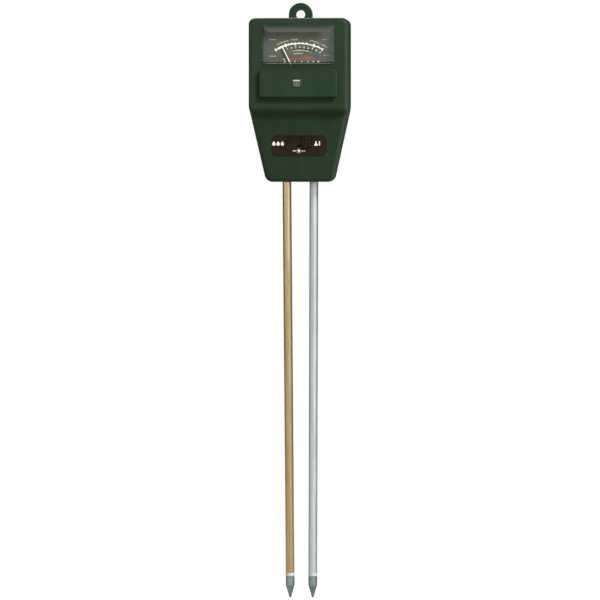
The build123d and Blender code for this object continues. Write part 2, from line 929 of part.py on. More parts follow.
with BuildPart() as meter_frame:
    with BuildSketch(Plane.XZ.offset(frame_back)):
        with Locations((0, frame_bottom)):
            Rectangle(frame_width, frame_top - frame_bottom, align=(Align.CENTER, Align.MIN))
        with Locations(*[(0, height) for height in bar_heights]):
            Rectangle(2 * frame_bar_end, 2 * post_radius)
        with Locations((0, pivot_height)):
            Circle(frame_bore_radius, mode=Mode.SUBTRACT)
        with Locations(*meter_screw_points):
            Circle(case_screw_diameter / 2 + screw_clearance, mode=Mode.SUBTRACT)
        with Locations(*dial_screw_points):
            Circle(dial_screw_diameter / 2 + pilot_clearance, mode=Mode.SUBTRACT)
    extrude(amount=frame_thickness)
    with BuildSketch(Plane.XZ.offset(cup_back)):
        with Locations((0, pivot_height)):
            Circle(ring_radius + cup_wall)
        with Locations(*bridge_screw_points):
            Circle(bridge_boss_radius)
        with Locations((0, pivot_height)):
            Circle(ring_radius + ring_clearance, mode=Mode.SUBTRACT)
    extrude(amount=frame_back - cup_back)
    with BuildSketch(Plane.XZ.offset(frame_front)):
        with Locations(*bridge_screw_points):
            Circle(bridge_boss_radius)
    extrude(amount=front_bridge_back - frame_front)
    for plane, way in ((Plane.XZ.offset(front_bridge_back), -1), (Plane.XZ.offset(cup_back), 1)):
        with BuildSketch(plane):
            with Locations(*bridge_screw_points):
                Circle(bridge_screw_diameter / 2 + pilot_clearance)
        extrude(amount=way * bridge_screw_length, mode=Mode.SUBTRACT)
save(meter_frame, "meter_frame")

meter_screws = screw_group(
    Plane.XZ.offset(frame_back),
    -1,
    meter_screw_points,
    case_screw_diameter,
    meter_screw_length,
    case_head_diameter,
    case_head_height,
)
save(meter_screws, "meter_screws")

with BuildPart() as dial_plate:
    with BuildSketch(Plane.XZ.offset(frame_front)):
        with Locations((0, pivot_height + dial_drop)):
            Rectangle(dial_width, frame_top - pivot_height - dial_drop, align=(Align.CENTER, Align.MIN))
        with Locations(*dial_screw_points):
            Circle(dial_screw_diameter / 2 + screw_clearance, mode=Mode.SUBTRACT)
    extrude(amount=dial_thickness)
save(dial_plate, "dial_plate")

dial_screws = screw_group(
    Plane.XZ.offset(dial_front),
    1,
    dial_screw_points,
    dial_screw_diameter,
    dial_screw_length,
    dial_head_diameter,
    dial_head_height,
)
save(dial_screws, "dial_screws")

stop_across = stop_radius * sin(radians(stop_angle))
stop_rise = pivot_height + stop_radius * cos(radians(stop_angle))
with BuildPart() as pointer_stops:
    with BuildSketch(Plane.XZ.offset(dial_front)):
        with Locations((-stop_across, stop_rise), (stop_across, stop_rise)):
            Circle(stop_diameter / 2)
    extrude(amount=stop_length)
save(pointer_stops, "pointer_stops")


# Magnet system: soft-iron ring, core magnet and the spacers that hold the core

with BuildPart() as return_ring:
    with BuildSketch(Plane.XZ.offset(ring_back)):
        with Locations((0, pivot_height)):
            Circle(ring_radius)
            Circle(ring_bore_radius, mode=Mode.SUBTRACT)
    extrude(amount=ring_length)
save(return_ring, "return_ring")

with BuildPart() as core_magnet:
    with BuildSketch(Plane.XZ.offset(ring_back)):
        with Locations((0, pivot_height)):
            Circle(core_radius)
    extrude(amount=core_length)
save(core_magnet, "core_magnet")

with BuildPart() as core_spacers:
    with BuildSketch(Plane.XZ.offset(ring_back)):
        with Locations((0, pivot_height)):
            Circle(ring_bore_radius - fit_clearance)
            Circle(core_radius + fit_clearance, mode=Mode.SUBTRACT)
            Rectangle(spacer_width, 2 * ring_bore_radius, mode=Mode.INTERSECT)
    extrude(amount=core_length)
save(core_spacers, "core_spacers")


# Moving coil, its pivots and the pointer

coil_middle = (former_front + former_back) / 2
former_length = former_front - former_back + 2 * former_thickness
former_span = 2 * (former_half + former_thickness)
with BuildPart() as coil_former:
    with BuildSketch(coil_plane):
        with Locations((0, coil_middle)):
            Rectangle(former_span, former_length)
            Rectangle(2 * former_half, former_front - former_back, mode=Mode.SUBTRACT)
    extrude(amount=former_width / 2, both=True)
save(coil_former, "coil_former")

with BuildPart() as coil_winding:
    with BuildSketch(coil_plane):
        with Locations((0, coil_middle)):
            Rectangle(former_span + 2 * winding_thickness, former_length + 2 * winding_thickness)
            Rectangle(former_span, former_length, mode=Mode.SUBTRACT)
    extrude(amount=winding_width / 2, both=True)
save(coil_winding, "coil_winding")

# Each end of the coil carries a boss and a pointed staff
with BuildPart() as pivot_bosses:
    for face, boss_end, way in ((coil_front, pointer_back, 1), (coil_back, rear_boss_back, -1)):
        with BuildSketch(spindle_plane):
            with BuildLine():
                Polyline(
                    (staff_radius + fit_clearance, face),
                    (boss_flange_radius, face),
                    (boss_flange_radius, face + way * boss_flange_thickness),
                    (boss_radius, face + way * boss_flange_thickness),
                    (boss_radius, boss_end),
                    (staff_radius + fit_clearance, boss_end),
                    close=True,
                )
            make_face()
        revolve(axis=spindle)
save(pivot_bosses, "pivot_bosses")

with BuildPart() as pivot_staffs:
    for face, point, way in ((coil_front, front_point, 1), (coil_back, rear_point, -1)):
        with BuildSketch(spindle_plane):
            with BuildLine():
                Polyline(
                    (0, face),
                    (staff_radius, face),
                    (staff_radius, point - way * staff_cone),
                    (staff_point_radius, point),
                    (0, point),
                    close=True,
                )
            make_face()
        revolve(axis=spindle)
save(pivot_staffs, "pivot_staffs")

with BuildPart() as pointer:
    with BuildSketch(moving_plane(pointer_back)):
        with BuildLine():
            Polyline(
                (-tail_width / 2, -tail_length),
                (tail_width / 2, -tail_length),
                (pointer_base_width / 2, 0),
                (pointer_tip_width / 2, pointer_length),
                (-pointer_tip_width / 2, pointer_length),
                (-pointer_base_width / 2, 0),
                close=True,
            )
        make_face()
        Circle(pointer_hub_radius)
        Circle(staff_radius + fit_clearance, mode=Mode.SUBTRACT)
    extrude(amount=pointer_thickness)
save(pointer, "pointer")

with BuildPart() as balance_weight:
    with BuildSketch(moving_plane(pointer_front)):
        with Locations((0, -weight_distance)):
            Circle(weight_radius)
    extrude(amount=weight_length)
save(balance_weight, "balance_weight")


# Bridges with their jewel screws, and the hairsprings anchored to them


def bridge(ahead, away, anchor_side, anchor_length):
    """Strap across the movement, with the post that holds its hairspring's outer end."""
    plane = Plane(origin=(0, -ahead, pivot_height), x_dir=(1, 0, 0), z_dir=(0, -away, 0))
    with BuildPart() as strap:
        with BuildSketch(plane):
            Rectangle(2 * bridge_end, bridge_width)
            Circle(jewel_radius + fit_clearance, mode=Mode.SUBTRACT)
            with GridLocations(2 * bridge_screw_across, 0, 2, 1):
                Circle(bridge_screw_diameter / 2 + screw_clearance, mode=Mode.SUBTRACT)
        extrude(amount=bridge_thickness)
        with BuildSketch(plane):
            with Locations((anchor_side * anchor_across, 0)):
                Circle(anchor_radius)
        extrude(amount=-anchor_length)
    return strap


def hairspring(ahead, away, side):
    """Flat spiral strip from the boss out to its anchor, drawn as half turns of growing radius."""
    plane = Plane(origin=(0, -ahead, pivot_height), x_dir=(side, 0, 0), z_dir=(0, -away, 0))
    with BuildPart() as spring:
        with BuildSketch(plane):
            with BuildLine():
                for half_turn in range(spring_half_turns):
                    near = spring_start + half_turn * spring_pitch / 2
                    far = near + spring_pitch / 2
                    way = -1 if half_turn % 2 else 1
                    ThreePointArc(
                        (way * near, 0),
                        (way * (near - far) / 2, way * (near + far) / 2),
                        (-way * far, 0),
                    )
            trace(line_width=spring_strip)
        extrude(amount=spring_width)
    return spring


front_bridge_front = front_bridge_back + bridge_thickness
rear_bridge_back = cup_back - bridge_thickness
front_bridge = bridge(front_bridge_back, 1, -1, front_bridge_back - front_spring_back)
save(front_bridge, "front_bridge")
rear_bridge = bridge(cup_back, -1, 1, rear_spring_front - cup_back)
save(rear_bridge, "rear_bridge")
front_hairspring = hairspring(front_spring_back, 1, -1)
save(front_hairspring, "front_hairspring")
rear_hairspring = hairspring(rear_spring_front, -1, 1)
save(rear_hairspring, "rear_hairspring")

with BuildPart() as jewel_screws:
    for point, seat, way in ((front_point, front_bridge_front, 1), (rear_point, rear_bridge_back, -1)):
        cup_end = point + way * jewel_point_gap
        cup_mouth = cup_end - way * jewel_cup_depth
        with BuildSketch(spindle_plane):
            with BuildLine():
                Polyline(
                    (0, cup_end),
                    (jewel_cup_radius, cup_mouth),
                    (jewel_radius, cup_mouth),
                    (jewel_radius, seat),
                    (jewel_head_radius, seat),
                    (jewel_head_radius, seat + way * jewel_head_length),
                    (0, seat + way * jewel_head_length),
                    close=True,
                )
            make_face()
        revolve(axis=spindle)
save(jewel_screws, "jewel_screws")

front_bridge_screws = screw_group(
    Plane.XZ.offset(front_bridge_front),
    1,
    bridge_screw_points,
    bridge_screw_diameter,
    bridge_screw_length,
    bridge_head_diameter,
    bridge_head_height,
)
rear_bridge_screws = screw_group(
    Plane.XZ.offset(rear_bridge_back),
    -1,
    bridge_screw_points,
    bridge_screw_diameter,
    bridge_screw_length,
    bridge_head_diameter,
    bridge_head_height,
)
with BuildPart() as bridge_screws:
    add(front_bridge_screws.part)
    add(rear_bridge_screws.part)
save(bridge_screws, "bridge_screws")

terminal_height = frame_bottom + terminal_rise
with BuildPart() as meter_terminals:
    with BuildSketch(Plane.XZ.offset(frame_back)):
        with Locations((-terminal_across, terminal_height), (terminal_across, terminal_height)):
            Rectangle(terminal_foot, terminal_foot)
    extrude(amount=-terminal_sheet)
    with BuildSketch(Plane.XZ.offset(frame_back)):
        with Locations((-terminal_across, terminal_height), (terminal_across, terminal_height)):
            Rectangle(terminal_width, terminal_sheet)
    extrude(amount=-terminal_length)
save(meter_terminals, "meter_terminals")


# Probes: tube, insulating collar and tip, each turned about the probe's own axis

collar_top = -tube_reach
tip_top = collar_top - collar_length
stud_top = tip_top + stud_length
for plane, name in ((brass_plane, "brass"), (alloy_plane, "alloy")):
    axis = Axis(plane.origin, plane.y_dir)
    with BuildPart() as tube:
        with BuildSketch(plane):
            with BuildLine():
                Polyline(
                    (tube_bore_diameter / 2, collar_top),
                    (probe_diameter / 2, collar_top),
                    (probe_diameter / 2, -shoulder_gap),
                    (seat_diameter / 2, -shoulder_gap),
                    (seat_diameter / 2, tube_seat),
                    (tube_bore_diameter / 2, tube_seat),
                    close=True,
                )
            make_face()
        revolve(axis=axis)
    save(tube, f"{name}_tube")

    with BuildPart() as collar:
        with BuildSketch(plane):
            with BuildLine():
                Polyline(
                    (stud_diameter / 2 + collar_clearance, tip_top),
                    (probe_diameter / 2, tip_top),
                    (probe_diameter / 2, collar_top),
                    (tube_bore_diameter / 2 - collar_clearance, collar_top),
                    (tube_bore_diameter / 2 - collar_clearance, collar_top + collar_spigot),
                    (stud_diameter / 2 + collar_clearance, collar_top + collar_spigot),
                    close=True,
                )
            make_face()
        revolve(axis=axis)
    save(collar, f"{name}_probe_collar")

    with BuildPart() as tip:
        with BuildSketch(plane):
            with BuildLine():
                Polyline(
                    (tip_end_radius, tip_top - tip_length),
                    (0, tip_top - tip_length),
                    (0, stud_top),
                    (stud_diameter / 2, stud_top),
                    (stud_diameter / 2, tip_top),
                    (probe_diameter / 2, tip_top),
                    (probe_diameter / 2, tip_top - tip_straight),
                    close=True,
                )
            make_face()
        revolve(axis=axis)
    save(tip, f"{name}_probe_tip")


# Holder that grips the turned-down ends of both tubes, with a bush for each through the underside
# of the head where the tube's shoulder stops, and the lugs on top of it

with BuildPart() as probe_holder:
    with BuildSketch(Plane.XY.offset(wall)):
        Rectangle(holder_width, holder_depth)
    extrude(amount=holder_height)
    with BuildSketch(Plane.XY):
        with Locations(*bush_points):
            Circle(bush_diameter / 2)
    extrude(amount=wall)
    with BuildSketch(Plane.XZ):
        with Locations((0, foot_post_height)):
            Rectangle(2 * ear_end, ear_height)
    extrude(amount=-ear_thickness)
    with BuildSketch(Plane.XZ):
        with Locations(*case_screw_points[2:]):
            Circle(case_screw_diameter / 2 + screw_clearance)
    extrude(amount=-ear_thickness, mode=Mode.SUBTRACT)
    for plane in (brass_plane, alloy_plane):
        with BuildSketch(plane):
            Rectangle(seat_diameter / 2 + fit_clearance, 2 * tube_seat, align=(Align.MIN, Align.CENTER))
        revolve(axis=Axis(plane.origin, plane.y_dir), mode=Mode.SUBTRACT)
save(probe_holder, "probe_holder")

with BuildPart() as solder_lugs:
    for plane, side in ((brass_plane, -1), (alloy_plane, 1)):
        centre = probe_point(plane, holder_top).X
        with BuildSketch(Plane.XY.offset(holder_top)):
            with Locations((centre, 0)):
                Circle(lug_radius)
            with Locations(((centre + side * lug_tail_end) / 2, 0)):
                Rectangle(lug_tail_end - abs(centre), lug_tail_width)
            with Locations((centre, 0)):
                Circle(seat_diameter / 2 + lug_clearance, mode=Mode.SUBTRACT)
        extrude(amount=lug_thickness)
save(solder_lugs, "solder_lugs")


# Leads: tube lugs, probe tips, meter and light cell, all to the circuit board

towards_front = slope_plane.z_dir
for plane, name in ((brass_plane, "brass"), (alloy_plane, "alloy")):
    pad = slope_point(0, core_lead_rise, board_back)
    back_off = -pad.Y / slope_cos
    corner = probe_point(plane, pad.Z + back_off * slope_sin)
    foot = plane.from_local_coords(Vector(0, stud_top, 0))
    core_lead = lead([foot, corner, corner + towards_front * back_off], lead_diameter)
    save(core_lead, f"{name}_core_lead")

probe_lead_pair = []
meter_lead_pair = []
cell_lead_pair = []
for side in (-1, 1):
    pad = slope_point(side * tube_lead_across, tube_lead_rise, board_back)
    corner = pad + towards_front * ((pad.Y - tube_lead_behind) / slope_cos)
    start = Vector(pad.X, tube_lead_behind, holder_top + lug_thickness)
    probe_lead_pair.append(lead([start, corner, pad], lead_diameter))

    pad = slope_point(side * meter_lead_across, meter_lead_rise, board_back)
    start = Vector(
        side * terminal_across,
        terminal_length - terminal_foot / 3 - frame_back,
        terminal_height - terminal_sheet / 2,
    )
    bend_across, bend_behind, bend_height = meter_lead_bend
    meter_lead_pair.append(
        lead(
            [
                start,
                start - Vector(0, 0, meter_lead_drop),
                Vector(side * bend_across, bend_behind, bend_height),
                pad - towards_front * pad_approach,
                pad,
            ],
            lead_diameter,
        )
    )

    pad = slope_point(side * cell_lead_across, cell_lead_rise, board_front)
    below_bridge = pivot_height - (bridge_width + lead_diameter) / 2 - cell_lead_gap
    start = Vector(side * cell_lead_across, -cell_back, below_bridge)
    bend_ahead, bend_height = cell_lead_bend
    cell_lead_pair.append(
        lead(
            [
                start,
                Vector(start.X, -frame_front - cell_lead_clearance, start.Z),
                Vector(start.X, -bend_ahead, bend_height),
                pad + towards_front * pad_approach,
                pad,
            ],
            lead_diameter,
        )
    )

for pair, name in (
    (probe_lead_pair, "probe_leads"),
    (meter_lead_pair, "meter_leads"),
    (cell_lead_pair, "cell_leads"),
):
    with BuildPart() as leads:
        for single in pair:
            add(single.part)
    save(leads, name)
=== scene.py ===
import json
from functools import reduce
from math import atan2, cos, pi, radians, sin

import bmesh
import bpy
from mathutils import Matrix, Vector


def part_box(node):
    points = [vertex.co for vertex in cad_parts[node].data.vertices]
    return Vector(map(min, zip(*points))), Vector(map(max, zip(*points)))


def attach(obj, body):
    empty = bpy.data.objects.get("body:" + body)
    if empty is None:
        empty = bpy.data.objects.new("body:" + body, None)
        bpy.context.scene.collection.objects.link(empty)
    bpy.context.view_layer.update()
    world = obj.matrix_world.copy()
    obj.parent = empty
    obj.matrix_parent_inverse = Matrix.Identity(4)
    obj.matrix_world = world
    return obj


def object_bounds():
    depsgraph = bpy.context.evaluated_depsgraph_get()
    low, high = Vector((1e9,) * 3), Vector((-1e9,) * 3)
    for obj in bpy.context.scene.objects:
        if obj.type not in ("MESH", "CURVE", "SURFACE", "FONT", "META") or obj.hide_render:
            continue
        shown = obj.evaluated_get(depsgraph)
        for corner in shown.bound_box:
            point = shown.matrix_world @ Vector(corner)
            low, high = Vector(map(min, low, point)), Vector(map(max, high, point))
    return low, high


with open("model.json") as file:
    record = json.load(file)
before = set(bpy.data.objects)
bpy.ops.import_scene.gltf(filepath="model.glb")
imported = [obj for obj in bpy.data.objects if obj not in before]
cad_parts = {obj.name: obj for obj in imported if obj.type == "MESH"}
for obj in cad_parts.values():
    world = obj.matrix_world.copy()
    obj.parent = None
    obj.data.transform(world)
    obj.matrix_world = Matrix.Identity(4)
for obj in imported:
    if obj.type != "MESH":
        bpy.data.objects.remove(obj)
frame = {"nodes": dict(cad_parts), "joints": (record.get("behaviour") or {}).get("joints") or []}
cad_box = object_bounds()

# Soil tester: finishes for every solid, the print on the dial, the marks on the switch label,
# and a plain studio. Metres, Z up, front towards -Y. Print and marks are drawn in millimetres.

MM = 0.001

# Pointer: its pivot, and its lean at rest to the left of upright
joints = {joint["name"]: joint for joint in frame["joints"]}
pivot = Vector(joints["pointer_swing"]["pos_m"])
NEEDLE_REST = radians(26.1)

dial_low, dial_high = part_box("dial_plate")

# Sloping face that carries the switch: how far it goes back over its fall, in millimetres.
# The label's thickness and the middle of its front come from the box round the leaning label
SLOPE_BACK = 6.6
SLOPE_FALL = 33.1
SLOPE = atan2(SLOPE_BACK, SLOPE_FALL)
label_low, label_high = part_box("switch_label")
label_size = label_high - label_low
label_thickness = (label_size.y * cos(SLOPE) - label_size.z * sin(SLOPE)) / cos(2 * SLOPE)
label_out = Vector((0, -cos(SLOPE), -sin(SLOPE)))
label_up = Vector((0, -sin(SLOPE), cos(SLOPE)))
label_middle = (label_low + label_high) / 2 + label_out * label_thickness / 2


# Small helpers for node trees

# Places of the share, of both values and of the result among the sockets of a Mix node
MIX_SOCKETS = {"FLOAT": (0, 2, 3, 0), "RGBA": (0, 6, 7, 2)}


def linear(red, green, blue):
    """Linear colour of an 8-bit screen colour, by the sRGB formula."""
    shares = [value / 255 for value in (red, green, blue)]
    return tuple(s / 12.92 if s <= 0.04045 else ((s + 0.055) / 1.055) ** 2.4 for s in shares) + (1.0,)


def feed(tree, socket, value):
    """Link a socket to another one, or set a plain value on it."""
    if isinstance(value, bpy.types.NodeSocket):
        tree.links.new(value, socket)
    else:
        socket.default_value = value


def drive(tree, node, **inputs):
    """Feed a node's inputs by their names, with _ for a space."""
    for name, value in inputs.items():
        feed(tree, node.inputs[name.replace("_", " ")], value)


def put(tree, kind, settings=None, **inputs):
    """Add a node, with its settings and with its inputs fed."""
    node = tree.nodes.new(kind)
    for name, value in (settings or {}).items():
        setattr(node, name, value)
    drive(tree, node, **inputs)
    return node


def place(tree):
    """Place on the piece, in metres."""
    return put(tree, "ShaderNodeTexCoord").outputs["Object"]


def split(tree, vector):
    """The parts of a vector, under the names X, Y and Z."""
    return put(tree, "ShaderNodeSeparateXYZ", Vector=vector).outputs


def vector_maths(tree, operation, first, second=(0, 0, 0)):
    """Outputs of one operation on one or two vectors."""
    node = put(tree, "ShaderNodeVectorMath", {"operation": operation})
    feed(tree, node.inputs[0], first)
    feed(tree, node.inputs[1], second)
    return node.outputs


def distance_along(tree, start, way):
    """Distance of the place on the piece from a point, along a direction."""
    from_start = vector_maths(tree, "SUBTRACT", place(tree), start)["Vector"]
    return vector_maths(tree, "DOT_PRODUCT", from_start, way)["Value"]


def maths(tree, operation, first, second=0.0):
    """Result of one operation on one or two numbers."""
    node = put(tree, "ShaderNodeMath", {"operation": operation})
    feed(tree, node.inputs[0], first)
    feed(tree, node.inputs[1], second)
    return node.outputs["Value"]


def product(tree, *values):
    """Product of some numbers."""
    return reduce(lambda first, second: maths(tree, "MULTIPLY", first, second), values)


def largest(tree, *values):
    """Largest of some numbers."""
    return reduce(lambda first, second: maths(tree, "MAXIMUM", first, second), values)


def apart(tree, value, middle):
    """Distance of a number from a middle value."""
    return maths(tree, "ABSOLUTE", maths(tree, "SUBTRACT", value, middle))


def from_stripe(tree, value, pitch):
    """Distance of a number from the middle of its stripe, in parts of the pitch."""
    return apart(tree, maths(tree, "FRACT", maths(tree, "DIVIDE", value, pitch)), 0.5)


def noise(tree, size, detail=2.0, roughness=0.5):
    """Soft noise with features of a size in millimetres, the same each way or one size per axis."""
    sizes = size if isinstance(size, tuple) else (size,) * 3
    scaled = put(tree, "ShaderNodeMapping", Vector=place(tree), Scale=[1 / (MM * s) for s in sizes])
    texture = put(
        tree, "ShaderNodeTexNoise",
        Vector=scaled.outputs["Vector"], Scale=1.0, Detail=detail, Roughness=roughness,
    )
    return texture.outputs["Fac"]


def spread(tree, value, low=0.0, high=1.0, start=0.3, end=0.7):
    """Number that goes smoothly from low to high while a value goes from start to end."""
    node = put(
        tree, "ShaderNodeMapRange", {"interpolation_type": "SMOOTHSTEP"},
        Value=value, From_Min=start, From_Max=end, To_Min=low, To_Max=high,
    )
    return node.outputs["Result"]


def mixed(tree, share, first, second, kind="RGBA"):
    """Colour between two colours, or number between two numbers."""
    node = put(tree, "ShaderNodeMix", {"data_type": kind})
    *sources, result = MIX_SOCKETS[kind]
    for index, value in zip(sources, (share, first, second)):
        feed(tree, node.inputs[index], value)
    return node.outputs[result]


def see_through(tree):
    """Shader that shows what lies behind."""
    return put(tree, "ShaderNodeBsdfTransparent").outputs["BSDF"]


def layered(tree, share, first, second):
    """Shader between two shaders."""
    node = put(tree, "ShaderNodeMixShader", Fac=share)
    tree.links.new(first, node.inputs[1])
    tree.links.new(second, node.inputs[2])
    return node.outputs["Shader"]


def relief(tree, height, depth):
    """Bump of a depth in millimetres."""
    bump = put(tree, "ShaderNodeBump", Height=height, Strength=1.0, Distance=depth * MM)
    return bump.outputs["Normal"]


def blank(name):
    """New material, its tree, and the Principled shader on its output."""
    material = bpy.data.materials.new(name)
    material.use_nodes = True
    tree = material.node_tree
    tree.nodes.clear()
    shader = put(tree, "ShaderNodeBsdfPrincipled")
    put(tree, "ShaderNodeOutputMaterial", Surface=shader.outputs["BSDF"])
    return material, tree, shader


def reopened(material):
    """Tree, shader and present colour of a finished material, to lay more colour over it."""
    tree = material.node_tree
    shader = tree.nodes["Principled BSDF"]
    return tree, shader, shader.inputs["Base Color"].links[0].from_socket


def show(tree, surface):
    """Put another shader on a material's output."""
    tree.links.new(surface, tree.nodes["Material Output"].inputs["Surface"])


# Finishes. Sizes of noise and depths of relief are in millimetres


def moulded(name, dark, light, roughness, grain=0.004, gloss=0.3):
    """Moulded plastic: faint flow marks in its colour, a fine sparked grain and uneven sheen."""
    material, tree, shader = blank(name)
    smoothest, roughest = roughness - 0.05, roughness + 0.06
    flow = noise(tree, (14, 14, 22), 3.0)
    sheen = noise(tree, 5.0)
    sparks = noise(tree, 0.32, 3.0, 0.6)
    drive(
        tree, shader,
        Base_Color=mixed(tree, spread(tree, flow), dark, light),
        Roughness=spread(tree, sheen, smoothest, roughest),
        Specular_IOR_Level=gloss,
        Normal=relief(tree, sparks, grain),
    )
    return material


def metal(name, dark, light, roughness, streak=(2.0, 2.0, 2.0), scratch=(0.15, 0.15, 4.0), depth=0.002):
    """Bare metal: uneven tone along its streaks, and fine scratches along the way it was drawn."""
    material, tree, shader = blank(name)
    smoothest, roughest = roughness - 0.05, roughness + 0.08
    tone = noise(tree, streak, 3.0, 0.6)
    lines = noise(tree, scratch)
    drive(
        tree, shader,
        Base_Color=mixed(tree, spread(tree, tone), dark, light),
        Metallic=1.0,
        Roughness=spread(tree, lines, smoothest, roughest),
        Normal=relief(tree, lines, depth),
    )
    return material


def ink(name, colour, worn):
    """Screen-printed ink: slightly uneven cover and a dry surface."""
    material, tree, shader = blank(name)
    cover = noise(tree, 0.5, 3.0, 0.6)
    drive(
        tree, shader,
        Base_Color=mixed(tree, spread(tree, cover, end=0.65), worn, colour),
        Roughness=spread(tree, cover, 0.5, 0.65),
        Specular_IOR_Level=0.25,
    )
    return material


def insulation(name, colour):
    """Soft wire insulation with a dull grey bloom."""
    material, tree, shader = blank(name)
    bloom_share, bloom_grey = 0.2, 0.3
    bloomed = tuple((1 - bloom_share) * c + bloom_share * bloom_grey for c in colour[:3]) + (1.0,)
    bloom = noise(tree, (1.5, 1.5, 6.0), 3.0)
    drive(
        tree, shader,
        Base_Color=mixed(tree, spread(tree, bloom), colour, bloomed),
        Roughness=spread(tree, bloom, 0.42, 0.58),
        Normal=relief(tree, noise(tree, 0.25), 0.002),
    )
    return material


# Paler upright edges of the case, partly wear and partly a painted highlight, and painted shade along its
# upper edges, by the way its surface faces. The product of X and Y is 0 on a flat side and 0.5
# halfway round an upright edge, and Z goes from 0 on an upright face to 1 on a level top
WORN_AND_LIT_EDGE = (0.28, 0.48)
SHADED_FROM = (0.02, 0.5)
LEVEL_TOP = (0.8, 1.0)
SHADE_ON_TOP = 0.3


def case_green():
    """Dark green moulding: paler upright edges, partly worn by hands and partly a painted highlight, and
    painted shade along its upper edges.
    """
    material = moulded("case_green", linear(32, 51, 33), linear(37, 57, 38), 0.42, 0.005, 0.14)
    tree, shader, plain = reopened(material)
    worn_and_highlight_green = linear(49, 72, 54)
    painted_shade_green = linear(23, 38, 24)
    patches = spread(tree, noise(tree, (3.0, 3.0, 9.0), 3.0), 0.65, 1.0)
    facing = split(tree, put(tree, "ShaderNodeTexCoord").outputs["Normal"])
    between_faces = maths(tree, "ABSOLUTE", product(tree, facing["X"], facing["Y"]))
    upright_edge = spread(tree, between_faces, 0.0, 1.0, *WORN_AND_LIT_EDGE)
    shade_rising = spread(tree, facing["Z"], 0.0, 1.0, *SHADED_FROM)
    less_shade_on_top = spread(tree, facing["Z"], 1.0, SHADE_ON_TOP, *LEVEL_TOP)
    # worn: the upright edges paler, partly wear and partly a painted highlight
    worn = mixed(tree, product(tree, upright_edge, patches), plain, worn_and_highlight_green)
    # Painted shade: darker green where the faces turn upwards along the upper edges, less of it on a level
    # top
    painted_shade = product(tree, shade_rising, less_shade_on_top, patches)
    drive(tree, shader, Base_Color=mixed(tree, painted_shade, worn, painted_shade_green))
    return material


def moulded_black():
    """Black mouldings, with painted light on the switch's slide down in its shaded slot, and painted shade
    on its knob's lit front.
    """
    material = moulded("moulded_black", linear(38, 30, 23), linear(46, 37, 29), 0.5, 0.004, 0.2)
    tree, shader, plain = reopened(material)
    slide_start, slide_full = -3.0 * MM, -2.6 * MM
    knob_start, knob_full = 0.0, 0.3 * MM
    tone = noise(tree, 2.0, 3.0)
    # Painted light on the slide in its shaded slot, and painted shade on the knob's lit front
    slot_painted_light = mixed(tree, tone, linear(58, 45, 31), linear(68, 53, 36))
    knob_painted_shade = mixed(tree, tone, linear(36, 28, 19), linear(41, 32, 22))
    ahead = distance_along(tree, label_middle, label_out)
    on_slide = spread(tree, ahead, start=slide_start, end=slide_full)
    on_knob = spread(tree, ahead, start=knob_start, end=knob_full)
    in_slot = mixed(tree, on_slide, plain, slot_painted_light)
    drive(tree, shader, Base_Color=mixed(tree, on_knob, in_slot, knob_painted_shade))
    return material


# How much each part of the clear window hides what lies behind it. The right reflection is a painted
# reflection, a pale veil towards the right. The band runs along its top, with one share below the skirt's
# edge and one above it, and band_edges times that along its own edges
HAZE = {
    "all_over": 0.01,
    # Haze of the left wall, partly its frosted thickness and partly painted light over the shade there
    "left_wall_and_light": 0.05,
    "right_wall": 0.09,
    "right_reflection": 0.045,
    "band": (0.055, 0.105),
    "band_edges": 1.25,
    "over_band": 0.03,
    "lip": 0.1,
    "foot": 0.5,
}

# Haze over which the window's foot shows a painted shadow
SHADOW_HAZE = 0.2

# Share of light that the window mirrors, straight on and at a grazing angle
WINDOW_SHINE = (0.013, 0.5)


